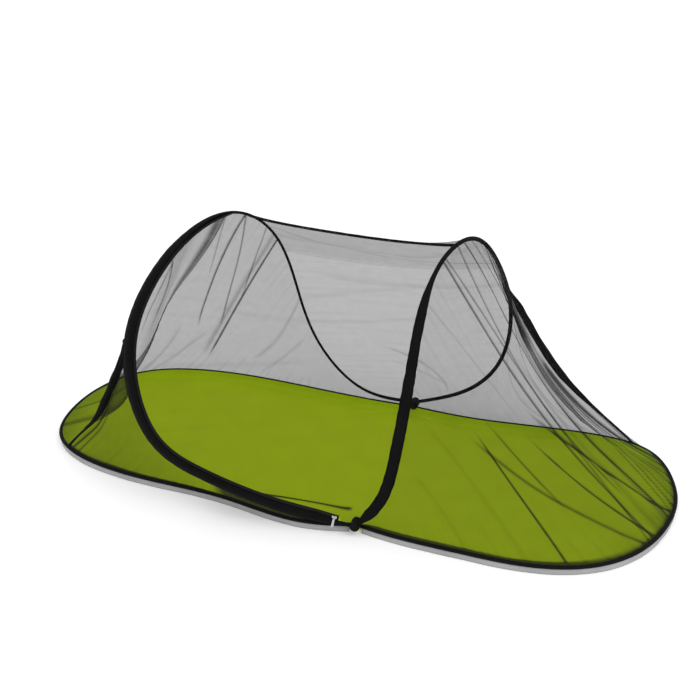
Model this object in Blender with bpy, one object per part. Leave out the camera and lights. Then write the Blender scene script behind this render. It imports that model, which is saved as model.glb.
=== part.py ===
"""Free-standing pop-up mosquito net tent for one person.

Two rings of spring rod cross at a front and a back pinch. The floor ring lies on the ground round the
groundsheet. The arch ring rises from the pinches as two leaning arches that carry the net. The tent folds
about the line through the pinches. +Z is up, +X is the foot end, -Y is the door side, and the origin is on
the ground below the middle of the tent.
"""

import math

import bmesh
import bpy
import numpy as np
from mathutils import Vector

# Overall sizes
HEAD_REACH = 1.213
FOOT_REACH = 0.990
HALF_WIDTH = 0.528
ARCH_HEIGHT = 0.900

# Where the rings stand at the pinches, as shares of the half width, and the pockets round them
FLOOR_PINCH_FRONT_SHARE = 0.8106
FLOOR_PINCH_BACK_SHARE = 0.8087
ARCH_PINCH_FRONT_SHARE = 0.8636
ARCH_PINCH_BACK_SHARE = 0.8561
PINCH_POCKET_RADIUS = 0.018
PINCH_POCKET_OVERHANG = 0.013

# Heights above the ground, and the fold line
FLOOR_RING_HEIGHT = 0.026
HINGE_RISE = 0.010
HINGE_HEIGHT = FLOOR_RING_HEIGHT + HINGE_RISE
HINGE_X = (HEAD_REACH - FOOT_REACH) / 2

# Rods and ferrules
ROD_RADIUS = 0.0020
FERRULE_BORE_RADIUS = 0.0025
FERRULE_RADIUS = 0.0033
FERRULE_LENGTH = 0.060

# Sleeves
SLEEVE_BORE_RADIUS = 0.0042
SLEEVE_RADIUS = 0.0065
BACK_SLEEVE_HALF_WIDTH = 0.0085
BAND_HALF_WIDTH = 0.0190
BAND_TAPER_LENGTH = 0.300
RIDGE_TAPER_LENGTH = 0.160

# Cloth
HEM_THICKNESS = 0.0025
FLOOR_THICKNESS = 0.0030
NET_THICKNESS = 0.0012
SEAM_WIDTH = 0.0200
SEAM_THICKNESS = 0.0016
RIDGE_TAPE_WIDTH = 0.0120
RIDGE_TAPE_THICKNESS = 0.0016
RIDGE_SAG = 0.0140

# Door zip, along the roof side of the head arch's band
ZIP_TAPE_WIDTH = 0.0160
ZIP_TAPE_THICKNESS = 0.0010
ZIP_CHAIN_HALF_WIDTH = 0.0025
ZIP_CHAIN_HALF_DEPTH = 0.0012
ZIP_FORK_HALF_WIDTH = 0.0019

# Zip slider, its bridge and its pull
SLIDER_LENGTH = 0.0160
SLIDER_HALF_WIDTH = 0.0055
SLIDER_TAIL_HALF_WIDTH = 0.0046
SLIDER_PLATE = 0.0013
NECK_START = 0.0040
NECK_END = 0.0070
BRIDGE_HALF_LENGTH = 0.0011
BRIDGE_THICKNESS = 0.0012
PULL_LENGTH = 0.0320
PULL_THICKNESS = 0.0013
PULL_RAIL_WIDTH = 0.0016
PULL_WINDOW = 0.0045
PULL_TIP_HALF_WIDTH = 0.0042

# Folds of the hanging net
NET_FOLD_DEPTH = 0.0090
NET_DRAW_IN = 0.0200

# Fits
GAP = 0.0003
OVERRUN = 0.0020
SLIDER_CLEARANCE = 0.0005

# Counts
FRONT_STATIONS = 28
BACK_STATIONS = 20
SPLINE_STEPS = 24
SLEEVE_SIDES = 8
POCKET_SIDES = 16
ROD_SIDES = 6
POCKET_SEARCH_STEPS = 100
NET_ROWS = 6
NET_FOLD_WAVES = 10

# Outlines, as shares of the reach, the half width and the arch height, from front pinch to back pinch
HEAD_FLOOR_SHARES = [
    (0.17, -0.847), (0.4, -0.693), (0.65, -0.591), (0.86, -0.427), (0.97, -0.182), (1, 0.145),
    (0.975, 0.534), (0.88, 0.861), (0.7, 0.994), (0.46, 0.964), (0.2, 0.861),
]
FOOT_FLOOR_SHARES = [
    (0.14, -0.888), (0.36, -0.959), (0.56, -1), (0.76, -0.928), (0.92, -0.652), (0.997, -0.182),
    (0.982, 0.176), (0.9, 0.534), (0.76, 0.687), (0.5, 0.728), (0.22, 0.739),
]
HEAD_ARCH_SHARES = [
    (0.21, -0.908, 0.067), (0.415, -0.928, 0.16), (0.55, -0.923, 0.28), (0.615, -0.877, 0.56),
    (0.585, -0.755, 0.8), (0.51, -0.448, 0.965), (0.42, -0.069, 0.985), (0.347, 0.248, 0.82),
    (0.318, 0.534, 0.5), (0.273, 0.759, 0.22), (0.157, 0.861, 0.037),
]
FOOT_ARCH_SHARES = [
    (0.08, -0.841, 0.117), (0.13, -0.829, 0.32), (0.167, -0.775, 0.62), (0.203, -0.489, 0.915),
    (0.278, -0.034, 0.96), (0.338, 0.309, 0.79), (0.362, 0.631, 0.51), (0.313, 0.8, 0.245),
    (0.19, 0.856, 0.09),
]

# Where things stand along a half ring, as shares of its length from the front pinch
HEAD_RIDGE_SHARE = 0.585
FOOT_RIDGE_SHARE = 0.445
HEAD_SEAM_SHARE = 0.360
FOOT_SEAM_SHARE = 0.640
FLOOR_FERRULE_SHARE = 0.520
ARCH_FERRULE_SHARE = 0.360
NET_START_SHARE = 0.030
ZIP_START_SHARE = 0.0185
ZIP_ARC_SHARES = [0.030, 0.096, 0.161]
ZIP_SPLIT_SHARE = 0.168
ZIP_END_SHARE = 0.543
ZIP_MARGIN_END_SHARE = 0.580
SLIDER_SHARE = 0.0235

# Other shares
CALM_EDGE_SHARE = 0.120
ROOF_FOLD_SHARE = 0.500
RIDGE_SAG_REACH_SHARE = 0.250
POCKET_LENGTH_SHARES = [0.00, 0.12, 0.88, 1.00]
POCKET_RADIUS_SHARES = [0.72, 1.00, 1.00, 0.72]

# How far the hanging pull leans out past the band, in degrees
PULL_LEAN = 14.0

UPWARDS = (0.0, 0.0, 1.0)

BLACK_FABRIC = ((0.012, 0.012, 0.013), 0.85, 0.0)
BLACK_NET = ((0.030, 0.030, 0.032), 0.90, 0.0)
GREEN_FLOOR = ((0.235, 0.335, 0.012), 0.75, 0.0)
SILVER_HEM = ((0.42, 0.42, 0.43), 0.55, 0.2)
SPRING_STEEL = ((0.35, 0.36, 0.38), 0.35, 1.0)
FERRULE_STEEL = ((0.55, 0.56, 0.58), 0.30, 1.0)
ZIP_METAL = ((0.60, 0.60, 0.62), 0.35, 1.0)
ZIP_NYLON = ((0.020, 0.020, 0.022), 0.60, 0.0)


def clear_scene():
    for item in list(bpy.data.objects):
        bpy.data.objects.remove(item, do_unlink=True)


def material(name, finish):
    colour, roughness, metallic = finish
    made = bpy.data.materials.new(name)
    made.use_nodes = True
    shader = made.node_tree.nodes["Principled BSDF"]
    shader.inputs["Base Color"].default_value = (*colour, 1.0)
    shader.inputs["Roughness"].default_value = roughness
    shader.inputs["Metallic"].default_value = metallic
    made.diffuse_color = (*colour, 1.0)
    return made


def unit(vectors):
    length = np.linalg.norm(vectors, axis=-1, keepdims=True)
    return vectors / np.maximum(length, np.finfo(float).tiny)


def ease(share):
    """A smooth step from 0 to 1."""
    share = np.clip(share, 0, 1)
    return share * share * (3 - 2 * share)


def chord_lengths(points):
    """Length along the points up to each one."""
    steps = np.linalg.norm(np.diff(points, axis=0), axis=1)
    return np.concatenate([[0.0], np.cumsum(steps)])


def spline_through(points):
    """Natural cubic spline through the points, as a dense list of points."""
    points = np.array(points, float)
    last = len(points) - 1
    spans = np.sqrt(np.linalg.norm(np.diff(points, axis=0), axis=1))
    system = np.eye(last + 1)
    right = np.zeros_like(points)
    for i in range(1, last):
        system[i, i - 1] = spans[i - 1]
        system[i, i] = 2 * (spans[i - 1] + spans[i])
        system[i, i + 1] = spans[i]
        ahead = (points[i + 1] - points[i]) / spans[i]
        behind = (points[i] - points[i - 1]) / spans[i - 1]
        right[i] = 6 * (ahead - behind)
    bends = np.linalg.solve(system, right)
    dense = []
    for i in range(last):
        span = spans[i]
        for share in np.linspace(0, 1, SPLINE_STEPS, endpoint=False):
            before = (1 - share) * span
            after = share * span
            cubic = (bends[i] * before**3 + bends[i + 1] * after**3) / (6 * span)
            start = (points[i] / span - bends[i] * span / 6) * before
            end = (points[i + 1] / span - bends[i + 1] * span / 6) * after
            dense.append(cubic + start + end)
    dense.append(points[last])
    return np.array(dense)


def points_at(path, shares):
    """Points on a polyline at shares of its length."""
    along = chord_lengths(path)
    wanted = np.asarray(shares) * along[-1]
    return np.stack([np.interp(wanted, along, path[:, axis]) for axis in range(3)], axis=-1)


def half_ring(shares, reach, front, back, rise, stations):
    """Points along one half of a ring, from the front pinch to the back pinch."""
    route = [(HINGE_X, -front * HALF_WIDTH, FLOOR_RING_HEIGHT + rise)]
    for place in shares:
        height = place[2] * ARCH_HEIGHT if len(place) > 2 else 0
        route.append((HINGE_X + place[0] * reach, place[1] * HALF_WIDTH, FLOOR_RING_HEIGHT + height))
    route.append((HINGE_X, back * HALF_WIDTH, FLOOR_RING_HEIGHT + rise))
    return points_at(spline_through(route), stations)


def tangents(path):
    """Direction at each point of a path, halfway between the chords that meet there."""
    chords = unit(np.diff(path, axis=0))
    middle = unit(chords[:-1] + chords[1:])
    return np.concatenate([chords[:1], middle, chords[-1:]])


def square_to(directions, along):
    """Each direction with its part along the path taken out."""
    flat = directions - np.sum(directions * along, axis=1, keepdims=True) * along
    return unit(flat)


def ring_points(centre, wide, deep, half_width, half_depth, sides, turn):
    angles = (np.arange(sides) + turn) * 2 * math.pi / sides
    return [
        Vector(centre + wide * (half_width * math.cos(angle)) + deep * (half_depth * math.sin(angle)))
        for angle in angles
    ]


def add_rings(mesh, rings):
    return [[mesh.verts.new(point) for point in ring] for ring in rings]


def skin(mesh, rings, inward=False):
    """Side faces between neighbouring rings of vertices."""
    for first, second in zip(rings, rings[1:]):
        for i in range(len(first)):
            j = (i + 1) % len(first)
            corners = [first[i], second[i], second[j], first[j]]
            mesh.faces.new(corners[::-1] if inward else corners)


def join_rims(mesh, outer, inner, at_start):
    """The flat end between an outer and an inner rim with equal counts."""
    for i in range(len(outer)):
        j = (i + 1) % len(outer)
        corners = [outer[i], outer[j], inner[j], inner[i]]
        mesh.faces.new(corners if at_start else corners[::-1])


def finish_object(name, mesh, finish, smooth, pivot):
    """Makes the object, with its origin at the pivot of its body."""
    bmesh.ops.recalc_face_normals(mesh, faces=mesh.faces)
    data = bpy.data.meshes.new(name)
    mesh.to_mesh(data)
    mesh.free()
    made = bpy.data.objects.new(name, data)
    bpy.context.collection.objects.link(made)
    made.data.materials.append(finish)
    if smooth:
        data.shade_smooth()
        data.set_sharp_from_angle(angle=math.radians(40))
    local = pivot.matrix_world.inverted()
    data.transform(local)
    made.parent = pivot
    return made


def tube(name, run, half_widths, half_depths, finish, pivot, bore=None, sides=SLEEVE_SIDES, turn=0.5):
    """A tube of elliptical section along a run of places, ways and wide sides. A bore makes it hollow."""
    path, ways, wide = run
    wide = square_to(np.broadcast_to(wide, path.shape), ways)
    deep = np.cross(ways, wide)
    count = len(path)
    half_widths = np.broadcast_to(half_widths, count)
    half_depths = np.broadcast_to(half_depths, count)
    mesh = bmesh.new()
    outer = add_rings(mesh, [
        ring_points(path[i], wide[i], deep[i], half_widths[i], half_depths[i], sides, turn)
        for i in range(count)
    ])
    skin(mesh, outer)
    if bore is None:
        mesh.faces.new(outer[0])
        mesh.faces.new(outer[-1][::-1])
    else:
        inner = add_rings(mesh, [
            ring_points(path[i], wide[i], deep[i], bore, bore, sides, turn) for i in range(count)
        ])
        skin(mesh, inner, inward=True)
        join_rims(mesh, outer[0], inner[0], True)
        join_rims(mesh, outer[-1], inner[-1], False)
    return finish_object(name, mesh, finish, True, pivot)


def strip(name, path, height, thickness, finish, pivot):
    """An upright strip of rectangular section along a level path."""
    along = tangents(path)
    deep = np.cross(along, UPWARDS)
    up = np.array((0, 0, height / 2))
    mesh = bmesh.new()
    rings = []
    for i in range(len(path)):
        out = deep[i] * thickness / 2
        corners = (up + out, out - up, -up - out, up - out)
        rings.append([Vector(path[i] + corner) for corner in corners])
    rings = add_rings(mesh, rings)
    skin(mesh, rings)
    mesh.faces.new(rings[0])
    mesh.faces.new(rings[-1][::-1])
    return finish_object(name, mesh, finish, False, pivot)


def panel(name, grid, thickness, finish, pivot):
    """A thin closed sheet over a grid of points."""
    rows, columns = grid.shape[:2]
    across = np.gradient(grid, axis=0)
    along = np.gradient(grid, axis=1)
    normals = unit(np.cross(across, along))
    mesh = bmesh.new()
    faces = []
    for side in (0.5, -0.5):
        layer = grid + normals * thickness * side
        faces.append([[mesh.verts.new(Vector(point)) for point in line] for line in layer])
    upper, lower = faces
    for r in range(rows - 1):
        for c in range(columns - 1):
            mesh.faces.new([upper[r][c], upper[r + 1][c], upper[r + 1][c + 1], upper[r][c + 1]])
            mesh.faces.new([lower[r][c], lower[r][c + 1], lower[r + 1][c + 1], lower[r + 1][c]])
    for r in range(rows - 1):
        for c in (0, columns - 1):
            mesh.faces.new([upper[r][c], lower[r][c], lower[r + 1][c], upper[r + 1][c]])
    for c in range(columns - 1):
        for r in (0, rows - 1):
            mesh.faces.new([upper[r][c], upper[r][c + 1], lower[r][c + 1], lower[r][c]])
    return finish_object(name, mesh, finish, True, pivot)


def cells(name, counts, filled, place, finish, pivot):
    """A closed solid of filled cells in a bent grid. place gives the point of each grid corner."""
    mesh = bmesh.new()
    made = {}

    def corner(index):
        if index not in made:
            made[index] = mesh.verts.new(Vector(place(*index)))
        return made[index]

    taken = {index for index in np.ndindex(*counts) if filled(*index)}
    for index in sorted(taken):
        for axis in range(3):
            for side in (0, 1):
                beyond = list(index)
                beyond[axis] += 2 * side - 1
                if tuple(beyond) in taken:
                    continue
                base = list(index)
                base[axis] += side
                first, second = (axis + 1) % 3, (axis + 2) % 3
                rim = []
                for along, across in ((0, 0), (1, 0), (1, 1), (0, 1)):
                    spot = list(base)
                    spot[first] += along
                    spot[second] += across
                    rim.append(corner(tuple(spot)))
                mesh.faces.new(rim)
    return finish_object(name, mesh, finish, False, pivot)


def plate(name, outline, thickness, finish, pivot):
    """A flat plate over an outline, extruded up from the ground."""
    mesh = bmesh.new()
    base = mesh.faces.new([mesh.verts.new(Vector((x, y, 0))) for x, y in outline])
    grown = bmesh.ops.extrude_face_region(mesh, geom=[base])
    raised = [item for item in grown["geom"] if isinstance(item, bmesh.types.BMVert)]
    bmesh.ops.translate(mesh, verts=raised, vec=(0, 0, thickness))
    bmesh.ops.triangulate(mesh, faces=[face for face in mesh.faces if len(face.verts) > 4])
    return finish_object(name, mesh, finish, False, pivot)


def empty_at(name, place, parent=None):
    made = bpy.data.objects.new(name, None)
    bpy.context.collection.objects.link(made)
    made.parent = parent
    made.location = Vector(place) - (parent.matrix_world.translation if parent else Vector())
    bpy.context.view_layer.update()
    return made


def facing_stations(ridge_share):
    """Shares along a half ring, so that each station of one arch faces one of the other."""
    front = np.linspace(0, ridge_share, FRONT_STATIONS + 1)
    back = np.linspace(ridge_share, 1, BACK_STATIONS + 1)
    return np.concatenate([front, back[1:]])


class HalfRing:
    """One half of a ring, from the front pinch to the back pinch. Shares are of its length."""

    def __init__(self, path, stations):
        self.path = path
        self.stations = stations
        self.length = chord_lengths(path)[-1]

    def at(self, shares):
        return np.stack([np.interp(shares, self.stations, self.path[:, axis]) for axis in range(3)], axis=-1)

    def ways(self, shares):
        step = np.diff(self.stations).min() / 2
        shares = np.asarray(shares)
        return unit(self.at(np.minimum(shares + step, 1)) - self.at(np.maximum(shares - step, 0)))

    def wide(self, shares):
        """Which way the wide side of a section lies."""
        return np.broadcast_to(UPWARDS, (len(shares), 3))

    def run(self, shares):
        """Places, ways and wide sides for a tube at these shares."""
        return self.at(shares), self.ways(shares), self.wide(shares)

    def stretch(self, first, last):
        """Shares of a stretch's ends and of every station between them."""
        room = OVERRUN / self.length
        inside = self.stations[(self.stations > first + room) & (self.stations < last - room)]
        return np.concatenate([[first], inside, [last]])

    def clear_of_pockets(self, radius):
        """Shares at which a tube of this radius comes out of the front and goes into the back pocket."""
        shares = np.linspace(0, 1, len(self.path) * POCKET_SEARCH_STEPS)
        ways = self.ways(shares)
        wide = square_to(np.broadcast_to(UPWARDS, ways.shape), ways)
        deep = np.cross(ways, wide)
        nearest = np.full(len(shares), np.inf)
        for angle in np.arange(POCKET_SIDES) * 2 * math.pi / POCKET_SIDES:
            rim = self.at(shares) + radius * (wide * math.cos(angle) + deep * math.sin(angle))
            nearest = np.minimum(nearest, np.hypot(rim[:, 0] - HINGE_X, rim[:, 2] - HINGE_HEIGHT))
        clear = np.nonzero(nearest > PINCH_POCKET_RADIUS + GAP)[0]
        return shares[clear[0]], shares[clear[-1]]


class Arch(HalfRing):
    """A leaning arch, with the sleeve that holds its rod: wide in front of the ridge, narrow behind it."""

    def __init__(self, path, stations, floor, ridge_share):
        super().__init__(path, stations)
        self.floor = floor
        self.ridge_share = ridge_share
        self.other = None

    def facing(self, shares):
        """The shares of the other arch that face these across the roof."""
        before = shares / self.ridge_share * self.other.ridge_share
        behind = (shares - self.ridge_share) / (1 - self.ridge_share)
        after = self.other.ridge_share + behind * (1 - self.other.ridge_share)
        return np.where(shares < self.ridge_share, before, after)

    def to_roof(self, shares):
        return square_to(self.other.at(self.facing(shares)) - self.at(shares), self.ways(shares))

    def to_floor(self, shares):
        return square_to(self.floor.at(shares) - self.at(shares), self.ways(shares))

    def wide(self, shares):
        """Which way the sleeve's wide side lies: along the tent's skin."""
        return unit(self.to_floor(shares) - self.to_roof(shares))

    def half_widths(self, shares):
        """The band is narrow at the pinches and narrows into the back sleeve before the ridge."""
        to_pinch = ease(np.minimum(shares, 1 - shares) * self.length / BAND_TAPER_LENGTH)
        to_ridge = ease((self.ridge_share - shares) * self.length / RIDGE_TAPER_LENGTH)
        widest = BACK_SLEEVE_HALF_WIDTH + (BAND_HALF_WIDTH - BACK_SLEEVE_HALF_WIDTH) * to_ridge
        return SLEEVE_RADIUS + (widest - SLEEVE_RADIUS) * to_pinch

    def reach(self, shares, towards):
        """How far the faceted sleeve reaches from its middle line in a direction."""
        wide = self.wide(shares)
        deep = np.cross(self.ways(shares), wide)
        on_wide = np.sum(towards * wide, axis=-1) / self.half_widths(shares)
        on_deep = np.sum(towards * deep, axis=-1) / SLEEVE_RADIUS
        facet = 2 * math.pi / SLEEVE_SIDES
        angle = np.arctan2(on_deep, on_wide) % facet
        rim = math.cos(facet / 2) / np.cos(angle - facet / 2)
        return (rim / np.hypot(on_wide, on_deep))[:, None]


def seat(thickness):
    """Room that a sheet's edge needs to a slanting sleeve: the gap, and its own thickness."""
    return GAP + thickness


class Tent:
    """The rings' middle lines and the empties that the bodies turn on."""

    def __init__(self):
        hinge = (HINGE_X, 0.0, HINGE_HEIGHT)
        self.foot_floor_pivot = empty_at("foot_floor_pivot", hinge)
        self.foot_arch_pivot = empty_at("foot_arch_pivot", hinge, self.foot_floor_pivot)
        self.head_arch_pivot = empty_at("head_arch_pivot", hinge, self.foot_arch_pivot)
        self.head_floor_pivot = empty_at("head_floor_pivot", hinge, self.head_arch_pivot)
        head_stations = facing_stations(HEAD_RIDGE_SHARE)
        foot_stations = facing_stations(FOOT_RIDGE_SHARE)
        head = (-HEAD_REACH, FLOOR_PINCH_FRONT_SHARE, FLOOR_PINCH_BACK_SHARE, 0, head_stations)
        foot = (FOOT_REACH, FLOOR_PINCH_FRONT_SHARE, FLOOR_PINCH_BACK_SHARE, 0, foot_stations)
        self.head_floor = HalfRing(half_ring(HEAD_FLOOR_SHARES, *head), head_stations)
        self.foot_floor = HalfRing(half_ring(FOOT_FLOOR_SHARES, *foot), foot_stations)
        head = (-HEAD_REACH, ARCH_PINCH_FRONT_SHARE, ARCH_PINCH_BACK_SHARE, HINGE_RISE, head_stations)
        foot = (FOOT_REACH, ARCH_PINCH_FRONT_SHARE, ARCH_PINCH_BACK_SHARE, HINGE_RISE, foot_stations)
        head_path = half_ring(HEAD_ARCH_SHARES, *head)
        foot_path = half_ring(FOOT_ARCH_SHARES, *foot)
        self.head_arch = Arch(head_path, head_stations, self.head_floor, HEAD_RIDGE_SHARE)
        self.foot_arch = Arch(foot_path, foot_stations, self.foot_floor, FOOT_RIDGE_SHARE)
        self.head_arch.other = self.foot_arch
        self.foot_arch.other = self.head_arch
        self.zip = ZipPath(self.head_arch)
        self.door_zip_pivot = empty_at("door_zip_pivot", hinge, self.head_arch_pivot)
        self.slider_pivot = empty_at("slider_pivot", self.zip.centre, self.door_zip_pivot)
        middle, _, _, outward = self.zip.frame(SLIDER_SHARE)
        bar_height = ZIP_CHAIN_HALF_DEPTH + SLIDER_PLATE + PULL_THICKNESS / 2 + 2 * SLIDER_CLEARANCE
        self.pull_pivot = empty_at("pull_pivot", middle + outward * bar_height, self.slider_pivot)

    def sides(self):
        return (
            ("head", self.head_floor, self.head_floor_pivot, self.head_arch, self.head_arch_pivot),
            ("foot", self.foot_floor, self.foot_floor_pivot, self.foot_arch, self.foot_arch_pivot),
        )


def rod(name, ring, first, last, looks, pivot):
    run = ring.run(ring.stretch(first, last))
    tube(name, run, ROD_RADIUS, ROD_RADIUS, looks["rod"], pivot, sides=ROD_SIDES)


def rods_and_ferrule(side, part, ring, looks, pivot):
    """The head half of a ring is one rod. The foot half is two, which butt inside a crimped ferrule."""
    first, last = ring.clear_of_pockets(ROD_RADIUS)
    if side == "head":
        rod(f"{side}_{part}_rod", ring, first, last, looks, pivot)
        return
    joint = FLOOR_FERRULE_SHARE if part == "floor" else ARCH_FERRULE_SHARE
    half_gap = GAP / ring.length
    rod(f"{side}_{part}_rod_front", ring, first, joint - half_gap, looks, pivot)
    rod(f"{side}_{part}_rod_back", ring, joint + half_gap, last, looks, pivot)
    half_length = FERRULE_LENGTH / 2 / ring.length
    run = ring.run(ring.stretch(joint - half_length, joint + half_length))
    tube(
        f"{side}_{part}_ferrule", run, FERRULE_RADIUS, FERRULE_RADIUS,
        looks["ferrule"], pivot, bore=FERRULE_BORE_RADIUS,
    )


def floor_halves(tent, looks):
    """Binding, rods, hem and groundsheet of both halves of the floor."""
    for side, ring, pivot, _, _ in tent.sides():
        run = ring.run(ring.stretch(*ring.clear_of_pockets(SLEEVE_RADIUS)))
        tube(
            f"{side}_floor_binding", run, SLEEVE_RADIUS, SLEEVE_RADIUS,
            looks["fabric"], pivot, bore=SLEEVE_BORE_RADIUS,
        )
        rods_and_ferrule(side, "floor", ring, looks, pivot)
        hem_height = FLOOR_RING_HEIGHT - SLEEVE_RADIUS * math.cos(math.pi / SLEEVE_SIDES) - GAP
        hem_path = run[0] * (1, 1, 0) + (0, 0, hem_height / 2)
        strip(f"{side}_floor_hem", hem_path, hem_height, HEM_THICKNESS, looks["silver"], pivot)
        groundsheet(side, ring, pivot, looks)


def groundsheet(side, ring, pivot, looks):
    """One half of the floor, inside its hem, up to the fold line between the pinches."""
    out = -1.0 if side == "head" else 1.0
    inward = np.cross(UPWARDS, tangents(ring.path)) * out
    edge = ring.path + inward * (HEM_THICKNESS / 2 + GAP)
    edge[[0, -1], 0] = HINGE_X + GAP * out
    outline = [(x, y) for x, y, z in edge]
    plate(f"{side}_groundsheet", outline, FLOOR_THICKNESS, looks["green"], pivot)


def arches(tent, looks):
    """Rods, front bands and back sleeves of both arches."""
    for side, _, _, arch, pivot in tent.sides():
        first, last = arch.clear_of_pockets(SLEEVE_RADIUS)
        half_gap = GAP / arch.length
        for name, start, end in (
            ("front_band", first, arch.ridge_share - half_gap),
            ("back_sleeve", arch.ridge_share + half_gap, last),
        ):
            shares = arch.stretch(start, end)
            tube(
                f"{side}_arch_{name}", arch.run(shares), arch.half_widths(shares),
                SLEEVE_RADIUS, looks["fabric"], pivot, bore=SLEEVE_BORE_RADIUS, turn=0,
            )
        rods_and_ferrule(side, "arch", arch, looks, pivot)


def pinch_pockets(tent, looks):
    """Stitched pockets that bind the two rings where they cross."""
    for name, inner, outer, way in (
        ("front_pinch_pocket", FLOOR_PINCH_FRONT_SHARE, ARCH_PINCH_FRONT_SHARE, -1.0),
        ("back_pinch_pocket", FLOOR_PINCH_BACK_SHARE, ARCH_PINCH_BACK_SHARE, 1.0),
    ):
        first = inner * HALF_WIDTH - PINCH_POCKET_OVERHANG
        last = outer * HALF_WIDTH + PINCH_POCKET_OVERHANG
        path = np.array([
            (HINGE_X, way * (first + (last - first) * share), HINGE_HEIGHT) for share in POCKET_LENGTH_SHARES
        ])
        radii = np.array(POCKET_RADIUS_SHARES) * PINCH_POCKET_RADIUS
        run = (path, tangents(path), UPWARDS)
        tube(name, run, radii, radii, looks["fabric"], tent.foot_floor_pivot, sides=POCKET_SIDES)


def hung_net(start, end, waves, weight):
    """Grid of a net stretched from start points to end points, drawn in and folded along its rules."""
    rows = np.linspace(0, 1, NET_ROWS + 1)[:, None, None]
    grid = start * (1 - rows) + end * rows
    normals = unit(np.cross(np.gradient(grid, axis=0), np.gradient(grid, axis=1)))
    inwards = np.sign(np.sum(normals * ((HINGE_X, 0.0, 0.0) - grid), axis=-1, keepdims=True))
    spread = np.linspace(0, 1, len(start))[:, None]
    calm = np.clip(np.minimum(spread, 1 - spread) / CALM_EDGE_SHARE, 0, 1)
    length = np.linalg.norm(end - start, axis=1)[:, None]
    size = np.clip(length / HALF_WIDTH, 0, 1) * calm * weight
    folds = NET_DRAW_IN + NET_FOLD_DEPTH * np.sin(2 * math.pi * waves * spread)
    return grid + normals * inwards * np.sin(math.pi * rows) * size * folds


def waves_between(first, last):
    return max(1, round(NET_FOLD_WAVES * (last - first)))


def end_edges(arch, shares, thickness):
    """Upper and lower edge of an end sheet, at shares of the arch and of its floor ring."""
    down = arch.to_floor(shares)
    upper = arch.at(shares) + down * (arch.reach(shares, down) + seat(thickness))
    floor = arch.floor
    up = square_to(arch.at(shares) - floor.at(shares), floor.ways(shares))
    lower = floor.at(shares) + up * (SLEEVE_RADIUS + seat(thickness))
    return upper, lower


def end_nets(tent, looks):
    """The nets between each arch and its half of the floor: two panels and the seam between them."""
    for side, _, _, arch, pivot in tent.sides():
        seam = HEAD_SEAM_SHARE if side == "head" else FOOT_SEAM_SHARE
        half_seam = SEAM_WIDTH / 2 / arch.length
        gap = (GAP + SEAM_THICKNESS / 2) / arch.length
        for name, first, last in (
            ("front", NET_START_SHARE, seam - half_seam - gap),
            ("back", seam + half_seam + gap, 1 - NET_START_SHARE),
        ):
            edges = end_edges(arch, arch.stretch(first, last), NET_THICKNESS)
            grid = hung_net(*edges, waves_between(first, last), 1)
            panel(f"{side}_end_net_{name}", grid, NET_THICKNESS, looks["net"], pivot)
        edges = end_edges(arch, np.array((seam - half_seam, seam, seam + half_seam)), SEAM_THICKNESS)
        panel(f"{side}_slope_seam", hung_net(*edges, 0, 0), SEAM_THICKNESS, looks["fabric"], pivot)


class ZipPath:
    """Where the door zip runs. Its low stretch is an arc of one circle, so a stiff slider can follow it."""

    def __init__(self, arch):
        self.arch = arch
        first, middle, last = self.middle(np.array(ZIP_ARC_SHARES))
        near, far = middle - first, last - first
        axis = np.cross(near, far)
        to_centre = np.dot(far, far) * np.cross(axis, near) + np.dot(near, near) * np.cross(far, axis)
        self.centre = first + to_centre / (2 * np.dot(axis, axis))
        self.axis = unit(axis)
        self.radius = np.linalg.norm(first - self.centre)
        self.start = unit(first - self.centre)
        self.quarter = np.cross(self.axis, self.start)
        out = arch.to_roof(np.array(ZIP_ARC_SHARES))[0]
        out = unit(out - np.dot(out, self.quarter) * self.quarter)
        self.out_parts = (np.dot(out, self.start), np.dot(out, self.axis))

    def edges(self, shares):
        """The tape's edge on the band and its edge on the door net."""
        out = self.arch.to_roof(shares)
        on_band = self.arch.at(shares) + out * (self.arch.reach(shares, out) + seat(ZIP_TAPE_THICKNESS))
        return on_band, on_band + out * ZIP_TAPE_WIDTH

    def middle(self, shares):
        on_band, on_net = self.edges(shares)
        return (on_band + on_net) / 2

    def radial(self, point):
        flat = point - self.centre
        return unit(flat - np.dot(flat, self.axis) * self.axis)

    def frame(self, share):
        """Place on the arc, way along it, and the directions out of the band and out of the tent."""
        radial = self.radial(self.middle(np.array([share]))[0])
        way = np.cross(self.axis, radial)
        out = radial * self.out_parts[0] + self.axis * self.out_parts[1]
        return self.centre + radial * self.radius, way, unit(out), np.cross(unit(out), way)

    def turn(self, share):
        """Angle along the arc from its first point, in radians."""
        radial = self.radial(self.middle(np.array([share]))[0])
        return math.atan2(np.dot(radial, self.quarter), np.dot(radial, self.start))


def net_margin(shares):
    """Share of the zip tape's width that the door net leaves free. The zip ends before the ridge."""
    return 1 - ease((shares - ZIP_END_SHARE) / (ZIP_MARGIN_END_SHARE - ZIP_END_SHARE))


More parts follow.
